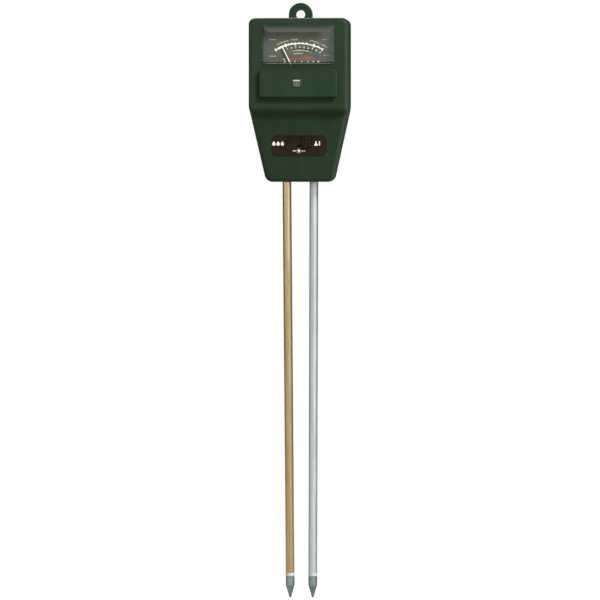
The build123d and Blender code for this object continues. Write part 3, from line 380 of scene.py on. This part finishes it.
def clear_window():
    """Clear moulded window: see-through, hazy where its side and top walls stand behind the face, with a
    painted reflection towards its right, a painted shadow over its foot and a painted highlight along its
    bottom edge.
    """
    material, tree, shader = blank("clear_plastic")
    low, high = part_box("meter_window")
    edge = 0.1 * MM
    side_wall = high.x - 2.3 * MM
    reflection_start, reflection_full = 8 * MM, 14 * MM
    skirt = high.z - 2.3 * MM
    band_middle = high.z - 2.35 * MM
    band_half = 1.05 * MM
    band_edges = 0.4 * MM, 0.7 * MM
    lip_start = high.z - 0.65 * MM
    foot_wall = low.z + 1.2 * MM
    foot_edge = low.z + 0.75 * MM
    foot_shade = low.z + 1.7 * MM

    def step(value, before, after, at):
        """One level before a place and another after it."""
        return spread(tree, value, before, after, at - edge, at + edge)

    spot = split(tree, place(tree))
    left = step(spot["X"], HAZE["left_wall_and_light"], 0.0, -side_wall)
    right = step(spot["X"], 0.0, HAZE["right_wall"], side_wall)
    # Painted reflection: a pale veil that grows towards the window's right
    painted_reflection = spread(tree, spot["X"], 0.0, HAZE["right_reflection"], reflection_start, reflection_full)
    from_band = apart(tree, spot["Z"], band_middle)
    band = product(
        tree,
        step(spot["Z"], *HAZE["band"], skirt),
        spread(tree, from_band, 1.0, HAZE["band_edges"], *band_edges),
        step(from_band, 1.0, 0.0, band_half),
    )
    over_band = step(spot["Z"], 0.0, HAZE["over_band"], band_middle + band_half)
    lip = step(spot["Z"], 0.0, HAZE["lip"], lip_start)
    foot = step(spot["Z"], HAZE["foot"], 0.0, foot_wall)
    # Painted highlight: a pale line along the window's bottom edge
    painted_lit_edge = step(spot["Z"], 1.0, 0.0, foot_edge)
    walls = largest(tree, left, painted_reflection, right, band, over_band, lip, foot)
    haze = maths(tree, "ADD", walls, HAZE["all_over"])

    swirl = noise(tree, (6, 6, 3), 3.0)
    pale = mixed(tree, swirl, linear(160, 182, 156), linear(186, 204, 180))
    # dark: a painted shadow of the window's bottom wall, laid over its foot
    dark = mixed(tree, swirl, linear(34, 36, 26), linear(44, 46, 34))
    in_painted_shadow = maths(tree, "GREATER_THAN", foot, SHADOW_HAZE)
    drive(
        tree, shader,
        Base_Color=mixed(tree, painted_lit_edge, mixed(tree, in_painted_shadow, pale, dark), linear(150, 164, 146)),
        Roughness=spread(tree, swirl, 0.2, 0.35),
    )
    plastic = shader.outputs["BSDF"]
    polish = spread(tree, swirl, 0.03, 0.08)
    shine = put(tree, "ShaderNodeBsdfGlossy", Color=(1, 1, 1, 1), Roughness=polish).outputs["BSDF"]
    facing = put(tree, "ShaderNodeLayerWeight", Blend=0.5).outputs["Facing"]
    film = layered(tree, haze, see_through(tree), plastic)
    seen = layered(tree, spread(tree, facing, *WINDOW_SHINE, 0.4, 1.0), film, shine)
    in_shade = maths(tree, "LESS_THAN", spot["Z"], foot_shade)
    shadow = layered(tree, in_shade, see_through(tree), plastic)
    is_shadow = put(tree, "ShaderNodeLightPath").outputs["Is Shadow Ray"]
    show(tree, layered(tree, is_shadow, seen, shadow))
    return material


def lens_plastic():
    """Smoky clear plastic of the cell's lens, with a painted highlight as a bright line under its top, a
    painted glow below it, and painted shade on its right side.
    """
    material, tree, shader = blank("lens_plastic")
    low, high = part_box("sensor_lens")
    middle = (low + high) / 2
    rim = high.z - 1.0 * MM
    line_middle = rim - 0.85 * MM
    line_core, line_end = 0.1 * MM, 0.5 * MM
    glow_end = rim - 0.3 * MM
    shade_start, shade_full = middle.x + 0.6 * MM, middle.x + 1.4 * MM
    spot = split(tree, place(tree))
    # Painted highlight: a bright line under the top, with a painted glow below it; painted shade on the
    # right side
    line = spread(tree, apart(tree, spot["Z"], line_middle), 1.0, 0.0, line_core, line_end)
    left_part = spread(tree, spot["X"], 1.0, 0.0, shade_start, shade_full)
    below = spread(tree, spot["Z"], 1.0, 0.0, line_middle, glow_end)
    broken = spread(tree, noise(tree, (0.9, 0.9, 0.7)), 0.5, 1.0, 0.35, 0.6)
    glow = product(tree, below, left_part, broken)
    painted_highlight = product(tree, line, left_part, broken)
    ground = mixed(tree, glow, linear(44, 58, 43), linear(98, 112, 96))
    drive(
        tree, shader,
        Base_Color=mixed(tree, painted_highlight, ground, linear(196, 206, 194)),
        Roughness=spread(tree, noise(tree, 1.2, 3.0), 0.22, 0.35),
        Specular_IOR_Level=0.3,
    )
    smoke = spread(tree, painted_highlight, 0.88, 0.97, 0.0, 0.6)
    show(tree, layered(tree, smoke, see_through(tree), shader.outputs["BSDF"]))
    return material


def dial_olive():
    """Painted dial plate: matt olive, greyer towards its sides, with fine dark specks."""
    material, tree, shader = blank("dial_olive")
    grey_start, grey_full = 0.55 * dial_high.x, 0.9 * dial_high.x
    across = maths(tree, "ABSOLUTE", split(tree, place(tree))["X"])
    sides = spread(tree, across, start=grey_start, end=grey_full)
    speck = noise(tree, 0.4, 3.0)
    base = mixed(tree, sides, linear(71, 75, 58), linear(63, 69, 60))
    drive(
        tree, shader,
        Base_Color=mixed(tree, spread(tree, speck, 0.0, 0.3), base, linear(58, 62, 46)),
        Roughness=spread(tree, speck, 0.5, 0.62),
        Normal=relief(tree, speck, 0.003),
    )
    return material


def needle_white():
    """Pointer: dull dark metal with a white line painted along its middle, slimmer towards its tip."""
    material, tree, shader = blank("needle_white")
    root_half, tip_half = 0.33 * MM, 0.25 * MM
    line_length, line_edge = 18 * MM, 0.04 * MM
    along = distance_along(tree, pivot, Vector((-sin(NEEDLE_REST), 0, cos(NEEDLE_REST))))
    across = distance_along(tree, pivot, Vector((cos(NEEDLE_REST), 0, sin(NEEDLE_REST))))
    half = spread(tree, along, root_half, tip_half, 0.0, line_length)
    past_line = maths(tree, "SUBTRACT", maths(tree, "ABSOLUTE", across), half)
    line = spread(tree, past_line, 1.0, 0.0, -line_edge, line_edge)
    cover = noise(tree, 0.5, 3.0, 0.6)
    paint = mixed(tree, cover, linear(236, 234, 222), linear(252, 250, 240))
    bare = mixed(tree, cover, linear(62, 64, 51), linear(80, 83, 66))
    drive(
        tree, shader,
        Base_Color=mixed(tree, line, bare, paint),
        Roughness=spread(tree, cover, 0.5, 0.65),
        Specular_IOR_Level=0.25,
    )
    return material


def collar_white():
    """Pale insulating collars: the brass probe's has yellowed, the other one is clean."""
    material = moulded("collar_white", linear(186, 199, 188), linear(204, 215, 205), 0.45, 0.003)
    tree, shader, yellowed = reopened(material)
    clean = mixed(tree, noise(tree, 1.5, 3.0), linear(190, 200, 204), linear(206, 215, 219))
    on_right = maths(tree, "GREATER_THAN", split(tree, place(tree))["X"], 0.0)
    drive(tree, shader, Base_Color=mixed(tree, on_right, yellowed, clean))
    return material


def probe_brass():
    """Drawn brass of the left tube, tarnished towards the end that goes into the soil."""
    clean = linear(200, 174, 128), linear(230, 205, 160)
    tarnished = linear(202, 169, 116), linear(230, 199, 146)
    streak = (1.6, 1.6, 26)
    tarnish_full, tarnish_none = -190 * MM, -30 * MM
    material = metal("probe_brass", *clean, 0.2, streak, (0.12, 0.12, 9))
    tree, shader, plain = reopened(material)
    patches = noise(tree, streak, 3.0, 0.6)
    tarnish = spread(tree, split(tree, place(tree))["Z"], 1.0, 0.0, tarnish_full, tarnish_none)
    drive(tree, shader, Base_Color=mixed(tree, tarnish, plain, mixed(tree, patches, *tarnished)))
    return material


def copper_wire():
    """Enamelled copper wire, wound turn beside turn."""
    material, tree, shader = blank("copper_wire")
    wire = 0.12 * MM
    scaled = put(tree, "ShaderNodeMapping", Vector=place(tree), Scale=[1 / wire] * 3)
    turns = put(
        tree, "ShaderNodeTexWave", {"bands_direction": "Y"},
        Vector=scaled.outputs["Vector"], Scale=0.5, Distortion=0.6, Detail=1.0,
    ).outputs["Fac"]
    # Painted shade between the turns and a painted highlight along the middle of each turn, on the same
    # bands as the relief
    drive(
        tree, shader,
        Base_Color=mixed(tree, turns, linear(120, 52, 26), linear(196, 104, 58)),
        Metallic=0.7,
        Roughness=spread(tree, turns, 0.28, 0.4),
        Normal=relief(tree, turns, 0.03),
    )
    return material


def cell_dark():
    """Light cell: near-black film with fine pale collector lines."""
    material, tree, shader = blank("cell_dark")
    line_pitch = 1.2 * MM
    from_line = from_stripe(tree, split(tree, place(tree))["X"], line_pitch)
    lines = spread(tree, from_line, 0.6, 0.0, 0.02, 0.06)
    sheen = mixed(tree, noise(tree, 3.0), linear(18, 20, 34), linear(34, 32, 52))
    drive(
        tree, shader,
        Base_Color=mixed(tree, lines, sheen, linear(150, 152, 150)),
        Roughness=spread(tree, noise(tree, 2.0), 0.12, 0.22),
    )
    return material


def board_brown():
    """Paper-based circuit board with a fibrous surface."""
    material, tree, shader = blank("board_brown")
    fibre = noise(tree, (2.5, 0.3, 0.3), 4.0, 0.65)
    drive(
        tree, shader,
        Base_Color=mixed(tree, fibre, linear(104, 66, 28), linear(158, 108, 54)),
        Roughness=spread(tree, fibre, 0.45, 0.6),
        Normal=relief(tree, fibre, 0.004),
    )
    return material


def resistor_body():
    """Lacquered resistor bodies with plain colour rings."""
    material, tree, shader = blank("resistor_body")
    ring_pitch = 1.3 * MM
    from_ring = from_stripe(tree, split(tree, place(tree))["X"], ring_pitch)
    rings = spread(tree, from_ring, 1.0, 0.0, 0.14, 0.18)
    lacquer = mixed(tree, noise(tree, 0.8), linear(190, 160, 118), linear(206, 178, 136))
    drive(
        tree, shader,
        Base_Color=mixed(tree, rings, lacquer, linear(96, 48, 30)),
        Roughness=spread(tree, noise(tree, 1.0), 0.22, 0.34),
    )
    return material


finishes = {
    "case_green": case_green(),
    "clear_plastic": clear_window(),
    "lens_plastic": lens_plastic(),
    "cell_dark": cell_dark(),
    "label_black": moulded("label_black", linear(35, 29, 21), linear(41, 35, 26), 0.5, 0.003, 0.12),
    "moulded_black": moulded_black(),
    "contact_brass": metal("contact_brass", linear(132, 110, 66), linear(168, 142, 88), 0.34),
    "plated_steel": metal("plated_steel", linear(150, 152, 154), linear(190, 192, 193), 0.28),
    "contact_base": moulded("contact_base", linear(88, 56, 34), linear(104, 68, 42), 0.5),
    "board_brown": board_brown(),
    "resistor_body": resistor_body(),
    "dial_olive": dial_olive(),
    "soft_iron": metal("soft_iron", linear(104, 106, 108), linear(136, 138, 140), 0.45),
    "magnet_grey": metal("magnet_grey", linear(58, 58, 60), linear(82, 82, 85), 0.55, (0.5, 0.5, 0.5)),
    "former_aluminium": metal("former_aluminium", linear(176, 179, 181), linear(204, 207, 209), 0.35),
    "copper_wire": copper_wire(),
    "needle_white": needle_white(),
    "probe_brass": probe_brass(),
    "probe_alloy": metal(
        "probe_alloy", linear(202, 211, 212), linear(215, 224, 225), 0.42,
        streak=(1.8, 1.8, 20), scratch=(0.1, 0.1, 6), depth=0.003,
    ),
    "collar_white": collar_white(),
    "tip_metal": metal(
        "tip_metal", linear(130, 144, 139), linear(161, 174, 168), 0.42,
        streak=(1.2, 1.2, 3.0), scratch=(0.2, 0.2, 1.5),
    ),
    "lead_red": insulation("lead_red", linear(150, 30, 24)),
    "lead_black": insulation("lead_black", linear(26, 26, 27)),
    "lead_yellow": insulation("lead_yellow", linear(198, 160, 30)),
}
for node in frame["nodes"].values():
    for holder in node.material_slots:
        holder.material = finishes[holder.material.name]


# Flat print: closed plates, a few hundredths of a millimetre thick, sunk a little into what carries them

PRINT_SUNK = 0.02
PRINT_PROUD = 0.03
ARC_STEP = 1.5
NUMBER_BOLD = 0.05
MERGE_DISTANCE = 1e-7


def sheet_matrix(origin, up, out):
    """Matrix from print coordinates (millimetres across, up and out) to the frame."""
    across = up.cross(out)
    turn = Matrix((across, up, out)).transposed().to_4x4()
    return Matrix.Translation(origin) @ turn @ Matrix.Scale(MM, 4)


def polar(radius, angle):
    """Point at a radius from the middle of the dial's print, at degrees clockwise from upright."""
    return radius * sin(radians(angle)), radius * cos(radians(angle))


def sector(start, end, inner, outer, step=ARC_STEP):
    """Outline of a band on the dial. Its radii may change along it, as functions of the angle."""
    inner_at = inner if callable(inner) else lambda angle: inner
    outer_at = outer if callable(outer) else lambda angle: outer
    count = max(2, round((end - start) / step))
    angles = [start + (end - start) * i / count for i in range(count + 1)]
    return [polar(outer_at(a), a) for a in angles] + [polar(inner_at(a), a) for a in reversed(angles)]


def bar(across, up, width, height):
    """Outline of an upright rectangle about a middle point."""
    half_width, half_height = width / 2, height / 2
    return [
        (across - half_width, up - half_height), (across + half_width, up - half_height),
        (across + half_width, up + half_height), (across - half_width, up + half_height),
    ]


def round_turns(count):
    """Angles of some points all the way round."""
    return [2 * pi * i / count for i in range(count)]


def add_plate(mesh, outline, matrix):
    """Add one closed plate to a mesh under construction, its caps made of quads from side to side."""
    front = [mesh.verts.new(matrix @ Vector((u, v, PRINT_PROUD))) for u, v in outline]
    back = [mesh.verts.new(matrix @ Vector((u, v, -PRINT_SUNK))) for u, v in outline]
    count = len(outline)
    for i in range(count):
        j = (i + 1) % count
        mesh.faces.new((front[j], front[i], back[i], back[j]))
    for i in range(count // 2 - 1):
        corners = (i, i + 1, count - 2 - i, count - 1 - i)
        mesh.faces.new([front[k] for k in corners])
        mesh.faces.new([back[k] for k in reversed(corners)])


def add_number(mesh, text, size, matrix):
    """Add a number, as closed plates, to a mesh under construction."""
    curve = bpy.data.curves.new("number", "FONT")
    curve.body = text
    curve.size = size
    curve.align_x = "CENTER"
    curve.align_y = "CENTER"
    curve.resolution_u = 3
    curve.offset = NUMBER_BOLD
    curve.extrude = (PRINT_SUNK + PRINT_PROUD) / 2
    carrier = bpy.data.objects.new("number", curve)
    bpy.context.scene.collection.objects.link(carrier)
    bpy.context.view_layer.update()
    shape = bpy.data.meshes.new_from_object(carrier.evaluated_get(bpy.context.evaluated_depsgraph_get()))
    lift = Matrix.Translation((0, 0, (PRINT_PROUD - PRINT_SUNK) / 2))
    shape.transform(matrix @ lift)
    mesh.from_mesh(shape)
    bpy.data.objects.remove(carrier)
    bpy.data.curves.remove(curve)
    bpy.data.meshes.remove(shape)


def finish_print(mesh, name, material):
    """Turn a mesh under construction into a piece of print that rides on the case."""
    bmesh.ops.remove_doubles(mesh, verts=mesh.verts, dist=MERGE_DISTANCE)
    bmesh.ops.recalc_face_normals(mesh, faces=mesh.faces)
    data = bpy.data.meshes.new(name)
    mesh.to_mesh(data)
    mesh.free()
    data.materials.append(material)
    piece = bpy.data.objects.new(name, data)
    bpy.context.scene.collection.objects.link(piece)
    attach(piece, "case")


def print_plates(name, outlines, matrix, material):
    """Piece of print made of closed plates."""
    mesh = bmesh.new()
    for outline in outlines:
        add_plate(mesh, outline, matrix)
    finish_print(mesh, name, material)


# Dial print. Its arcs share a middle that lies below the pointer's pivot. Places along an arc
# are in degrees clockwise from upright, and all sizes are in millimetres

PRINT_DROP = 5.2
PRINT_ACROSS = 0.3

print_middle = Vector((pivot.x + PRINT_ACROSS * MM, dial_low.y, pivot.z - PRINT_DROP * MM))
dial = sheet_matrix(print_middle, Vector((0, 0, 1)), Vector((0, -1, 0)))
print_white = ink("print_white", linear(255, 255, 248), linear(240, 241, 230))
print_faint = ink("print_faint", linear(196, 200, 184), linear(150, 155, 140))
print_green = ink("print_green", linear(24, 54, 8), linear(18, 42, 6))

SCALE_RADIUS = 23.3
SCALE_START = -30.8
SCALE_END = 29.8
SCALE_STEP = 0.35
SCALE_HALF = 0.28
HEAVY_START = -26.8
HEAVY_END = -19.4
HEAVY_HALF = 0.56
BLOCK_LENGTH = 1.7
BLOCK_HALF = 0.75
TEETH = {"places": (-12.9, -9.2, -5.2, -0.6, 3.8, 8.6, 23.2), "height": 0.6, "reach": 1.5}
LONG_TICKS = {"places": (-16.8, 17.6), "height": 0.9, "reach": 1.8}
INNER_TICKS = {"places": (-16.8, -5.2, 17.6), "height": 0.75, "reach": 1.5}
ROW_DASH = (-7.5, 15.6, 0.9, 0.5)


def spike(angle, places, height, reach):
    """Height, at an angle, of the pointed marks that stand at some places on an arc."""
    return max(height * max(0.0, 1 - abs(angle - middle) / reach) for middle in places)


def scale_half(angle):
    """Half the thickness of the scale's arc: heavy near its start and in blocks at both ends."""
    if not SCALE_START + BLOCK_LENGTH < angle < SCALE_END - BLOCK_LENGTH:
        return BLOCK_HALF
    return HEAVY_HALF if HEAVY_START < angle < HEAVY_END else SCALE_HALF


def scale_outer(angle):
    """Outer edge of the scale, with its teeth and long ticks."""
    marks = max(spike(angle, **TEETH), spike(angle, **LONG_TICKS))
    return SCALE_RADIUS + scale_half(angle) + marks


def scale_inner(angle):
    """Inner edge of the scale, with its inward ticks."""
    return SCALE_RADIUS - scale_half(angle) - spike(angle, **INNER_TICKS)


scale = [sector(SCALE_START, SCALE_END, scale_inner, scale_outer, SCALE_STEP), bar(*ROW_DASH)]
print_plates("dial_scale", scale, dial, print_white)

NUMBER_SIZE = 1.15
NUMBER_COUNT = 9
NUMBER_RADIUS = 21.45
NUMBER_START = -16.0
NUMBER_STEP = 5.5
LOWER_ROW = ((-7.1, "0"), (-2.2, "2"), (1.1, "4"), (4.2, "6"), (6.9, "8"), (9.1, "10"))
LOWER_ROW_RISE = 14.4

numbers = bmesh.new()
for i in range(NUMBER_COUNT):
    angle = NUMBER_START + NUMBER_STEP * i
    spot = Matrix.Translation((*polar(NUMBER_RADIUS, angle), 0)) @ Matrix.Rotation(radians(-angle), 4, "Z")
    add_number(numbers, str(i + 1), NUMBER_SIZE, dial @ spot)
for across, text in LOWER_ROW:
    add_number(numbers, text, NUMBER_SIZE, dial @ Matrix.Translation((across, LOWER_ROW_RISE, 0)))
finish_print(numbers, "dial_numbers", print_white)

FIELD = {"start": -12, "end": 21, "inner": 20.34, "outer": 21.0}
print_plates("dial_field", [sector(**FIELD)], dial, print_green)


def ramp(angle, start, end):
    """Share of the way from one angle to another."""
    return min(1.0, max(0.0, (angle - start) / (end - start)))


def print_band(name, colours, shade, start, end, inner, outer):
    """Band on the dial in several colours, one piece for each, with ink that wears to a darker shade."""
    length = (end - start) / len(colours)
    for i, colour in enumerate(colours):
        first = start + length * i
        worn = [shade * c for c in colour]
        print_plates(
            f"dial_{name}_{i + 1}", [sector(first, first + length, inner, outer)], dial,
            ink(f"print_{name}_{i + 1}", linear(*colour), linear(*worn)),
        )


BAND_COLOURS = (
    (152, 116, 109), (184, 170, 140), (206, 202, 160), (192, 198, 152),
    (174, 192, 152), (110, 134, 116), (78, 96, 104), (72, 88, 102),
)
BAND_SHADE = 0.7
BAND_ENDS = (-15.0, 30.0)
BAND_RADIUS = 20.0
BAND_HALF = 0.3
BAND_WIDENS = (14.0, 24.0)
BAND_MORE_INSIDE = 1.2
BAND_MORE_OUTSIDE = 0.1


def band_inner(angle):
    """Inner edge of the colour band, which widens towards the right."""
    return BAND_RADIUS - BAND_HALF - BAND_MORE_INSIDE * ramp(angle, *BAND_WIDENS)


def band_outer(angle):
    """Outer edge of the colour band."""
    return BAND_RADIUS + BAND_HALF + BAND_MORE_OUTSIDE * ramp(angle, *BAND_WIDENS)


print_band("band", BAND_COLOURS, BAND_SHADE, *BAND_ENDS, band_inner, band_outer)

WARM_COLOURS = ((132, 94, 78), (134, 88, 70), (136, 92, 72), (134, 102, 76), (128, 104, 80))
WARM_SHADE = 0.75
WARM_ENDS = (-18.0, 26.0)
WARM_FOOT = 15.0
WARM_RADIUS = 16.6
WARM_WIDENS = (5, 8)
WARM_MORE_OUTSIDE = 1.4


def warm_inner(angle):
    """Lower edge of the warm band, which is straight."""
    return WARM_FOOT / cos(radians(angle))


def warm_outer(angle):
    """Outer edge of the warm band, which is wider on the right."""
    return WARM_RADIUS + WARM_MORE_OUTSIDE * ramp(angle, *WARM_WIDENS)


print_band("warm", WARM_COLOURS, WARM_SHADE, *WARM_ENDS, warm_inner, warm_outer)

# Dashes in place of words: round the outside, inside the colour band and in the four corners
DASH_ANGLE = 2.1
OUTER_RADIUS = 25.3
OUTER_HALF = 0.33
OUTER_STARTS = (
    -25.6, -22.8, -20.0, -17.2, -14.4, -9.4, -6.6, -3.8,
    11.7, 14.5, 17.3, 20.1, 24.8, 27.6, 30.4,
)
WORD_RADIUS = 18.45
WORD_HALF = 0.3
WORD_STARTS = (-9.0, -6.1, -3.2, -0.3, 2.6)
CORNER_STARTS = ((-14.3, 25.2), (11.6, 25.3), (-14.3, 17.1), (12.3, 17.5))
CORNER_COUNT = 3
CORNER_PITCH = 1.15
CORNER_DASH = (0.85, 0.45)


def arc_dashes(starts, radius, half):
    """Outlines of dashes along an arc of the dial."""
    return [sector(start, start + DASH_ANGLE, radius - half, radius + half) for start in starts]


outer_marks = arc_dashes(OUTER_STARTS, OUTER_RADIUS, OUTER_HALF)
for across, up in CORNER_STARTS:
    outer_marks += [bar(across + CORNER_PITCH * i, up, *CORNER_DASH) for i in range(CORNER_COUNT)]
outer_marks += arc_dashes(WORD_STARTS, WORD_RADIUS, WORD_HALF)
print_plates("dial_outer_marks", outer_marks, dial, print_faint)


# Switch label marks: drops, a sun and a flask in place of words

label = sheet_matrix(label_middle, label_up, label_out)

MARK_ROW = 1.1
DROPS_ACROSS = (-12.3, -10.2, -8.1)
DROP_SIZE = (1.6, 2.2)
DROP_POINTS = 28
DROP_FULLNESS = 0.65
FLASK_ACROSS = 8.4
FLASK_HALF = ((0.3, 1.1), (0.3, 0.3), (0.95, -0.8), (0.75, -1.1))
BAR_ACROSS = 10.1
BAR_SIZE = (0.55, 2.2)
SUN_ROW = -2.6
SUN_RADIUS = 1.15
SUN_DASHES = (-1.75, -2.7, 1.75, 2.7)
SUN_DASH = (0.7, 0.45)

# Sun's disc and rays, in parts of its radius
DISC_RADIUS = 0.48
DISC_POINTS = 24
RAY_MIDDLE = 0.82
RAY_WIDTH = 0.2
RAY_LENGTH = 0.36
RAY_COUNT = 8


def drop(across, up, width, height):
    """Outline of a falling drop."""
    return [
        (across + width * DROP_FULLNESS * sin(t) * sin(t / 2), up + height / 2 * cos(t))
        for t in round_turns(DROP_POINTS)
    ]


def sun(across, up, radius):
    """Outlines of a sun: a disc and its rays."""
    middle = Vector((across, up))
    disc_radius = DISC_RADIUS * radius
    disc = [(across + disc_radius * cos(t), up + disc_radius * sin(t)) for t in round_turns(DISC_POINTS)]
    upright_ray = bar(0, RAY_MIDDLE * radius, RAY_WIDTH * radius, RAY_LENGTH * radius)
    rays = [
        [Matrix.Rotation(t, 2) @ Vector(corner) + middle for corner in upright_ray]
        for t in round_turns(RAY_COUNT)
    ]
    return [disc] + rays


def flask(across, up):
    """Outline of a laboratory flask."""
    points = list(FLASK_HALF) + [(-u, v) for u, v in reversed(FLASK_HALF)]
    return [(across + u, up + v) for u, v in points]


marks = [drop(across, MARK_ROW, *DROP_SIZE) for across in DROPS_ACROSS]
marks += [flask(FLASK_ACROSS, MARK_ROW), bar(BAR_ACROSS, MARK_ROW, *BAR_SIZE)]
marks += sun(0, SUN_ROW, SUN_RADIUS)
marks += [bar(across, SUN_ROW, *SUN_DASH) for across in SUN_DASHES]
print_plates("label_marks", marks, label, print_white)


# Studio: white surroundings, a pale floor, a soft key light from the upper right and one from behind

# Light on matt faces from below and from above, its tint, and how high the change between them lies
AMBIENT = (0.56, 0.46)
AMBIENT_CHANGE = (-0.5, 0.7)
AMBIENT_TINT = (1.12, 0.95, 0.84)

# What shiny faces mirror: a wall in front and behind, darker low down, and a bright strip at the right
WALL = (0.92, 0.05)
WALL_CHANGE = (-0.45, 0.2)
WALL_LOW = 0.25
WALL_LOW_CHANGE = (-0.3, -0.1)
STRIP_LEVEL = 0.7
STRIP_ACROSS = 0.62
STRIP_FADE = (0.06, 0.2)

# Floor: its colour to the eye, in mirrors and to bounced light, and its fade into the white
FLOOR_SEEN = (0.86, 0.86, 0.86)
FLOOR_MIRRORED = (0.3, 0.3, 0.3)
FLOOR_BOUNCE = (0.32, 0.3, 0.27)
FLOOR_GLOW = 0.35
FLOOR_FADE = (0.02, 0.12)
FLOOR_GAP = 0.0001
FLOOR_SIZE = 8.0

# Lights, which point at the middle of the head
HEAD_MIDDLE = Vector((0, 0, 0.04))
KEY_LIGHT = {"spot": Vector((1.0, -1.05, 1.4)), "size": 0.5, "level": 1.34}
BACK_LIGHT = {"spot": Vector((-0.5, 1.1, 1.3)), "size": 0.8, "level": 0.85}

# Camera, as in the photograph: nearly level, a little to the right, through a long lens
VIEW_AZIMUTH = radians(3.3)
VIEW_ELEVATION = radians(1.0)
VIEW_DISTANCE = 3.0
VIEW_WIDTH = 0.2952
VIEW_TARGET = Vector((-0.0002, 0, -0.0581))
SENSOR_WIDTH = 36.0
CLIP_END = 50.0


def build_world():
    """White to the eye, an even light on matt faces, and a pale wall with a bright strip for shiny ones."""
    world = bpy.data.worlds.new("studio")
    world.use_nodes = True
    bpy.context.scene.world = world
    tree = world.node_tree
    tree.nodes.clear()
    ray = put(tree, "ShaderNodeLightPath").outputs
    way = split(tree, put(tree, "ShaderNodeTexCoord").outputs["Generated"])
    wall = spread(tree, way["Y"], *WALL, *WALL_CHANGE)
    strip = spread(tree, apart(tree, way["X"], STRIP_ACROSS), STRIP_LEVEL, 0.0, *STRIP_FADE)
    in_front = maths(tree, "LESS_THAN", way["Y"], 0.0)
    high_up = spread(tree, way["Z"], WALL_LOW, 1.0, *WALL_LOW_CHANGE)
    mirrored = product(tree, maths(tree, "ADD", wall, product(tree, strip, in_front)), high_up)
    shiny = largest(tree, ray["Is Glossy Ray"], ray["Is Transmission Ray"])
    ambient = spread(tree, way["Z"], *AMBIENT, *AMBIENT_CHANGE)
    unseen = mixed(tree, shiny, ambient, mirrored, "FLOAT")
    level = mixed(tree, ray["Is Camera Ray"], unseen, 1.0, "FLOAT")
    tint = mixed(tree, ray["Is Diffuse Ray"], (1, 1, 1, 1), (*AMBIENT_TINT, 1))
    back = put(tree, "ShaderNodeBackground", Color=tint, Strength=level)
    put(tree, "ShaderNodeOutputWorld", Surface=back.outputs["Background"])


def build_floor():
    """Pale floor under the probe tips, which fades into the white surroundings and keeps the shadow."""
    half = FLOOR_SIZE / 2
    height = cad_box[0].z - FLOOR_GAP
    data = bpy.data.meshes.new("floor")
    corners = [(-half, -half, height), (half, -half, height), (half, half, height), (-half, half, height)]
    data.from_pydata(corners, [], [(0, 1, 2, 3)])
    material, tree, shader = blank("floor")
    ray = put(tree, "ShaderNodeLightPath").outputs
    unseen = mixed(tree, ray["Is Glossy Ray"], (*FLOOR_BOUNCE, 1), (*FLOOR_MIRRORED, 1))
    drive(
        tree, shader,
        Base_Color=mixed(tree, ray["Is Camera Ray"], unseen, (*FLOOR_SEEN, 1)),
        Roughness=0.9,
        Specular_IOR_Level=0.0,
    )
    flat = vector_maths(tree, "MULTIPLY", place(tree), (1, 1, 0))["Vector"]
    from_middle = vector_maths(tree, "LENGTH", flat)["Value"]
    fade = spread(tree, from_middle, FLOOR_GLOW, 1.0, *FLOOR_FADE)
    glow = put(tree, "ShaderNodeEmission", Color=(1, 1, 1, 1), Strength=1.0).outputs["Emission"]
    glow_share = product(tree, ray["Is Camera Ray"], fade)
    show(tree, layered(tree, glow_share, shader.outputs["BSDF"], glow))
    data.materials.append(material)
    floor = bpy.data.objects.new("floor", data)
    bpy.context.scene.collection.objects.link(floor)


def add_light(name, spot, size, level):
    """Square soft light that gives a surface facing it a level, where 1 shows a colour as written."""
    to_head = HEAD_MIDDLE - spot
    lamp = bpy.data.lights.new(name, "AREA")
    lamp.size = size
    lamp.energy = level * pi ** 2 * to_head.length ** 2
    holder = bpy.data.objects.new(name, lamp)
    holder.location = spot
    holder.rotation_euler = to_head.to_track_quat("-Z", "Y").to_euler()
    bpy.context.scene.collection.objects.link(holder)


def build_camera():
    """Camera of the photograph."""
    lens = bpy.data.cameras.new("camera")
    lens.sensor_width = SENSOR_WIDTH
    lens.lens = SENSOR_WIDTH * VIEW_DISTANCE / VIEW_WIDTH
    lens.clip_end = CLIP_END
    out = Vector((
        sin(VIEW_AZIMUTH) * cos(VIEW_ELEVATION),
        -cos(VIEW_AZIMUTH) * cos(VIEW_ELEVATION),
        sin(VIEW_ELEVATION),
    ))
    camera = bpy.data.objects.new("camera", lens)
    camera.location = VIEW_TARGET + VIEW_DISTANCE * out
    camera.rotation_euler = (-out).to_track_quat("-Z", "Y").to_euler()
    bpy.context.scene.collection.objects.link(camera)
    bpy.context.scene.camera = camera


build_world()
build_floor()
add_light("key", **KEY_LIGHT)
add_light("back", **BACK_LIGHT)
build_camera()
bpy.context.scene.view_settings.view_transform = "Standard"
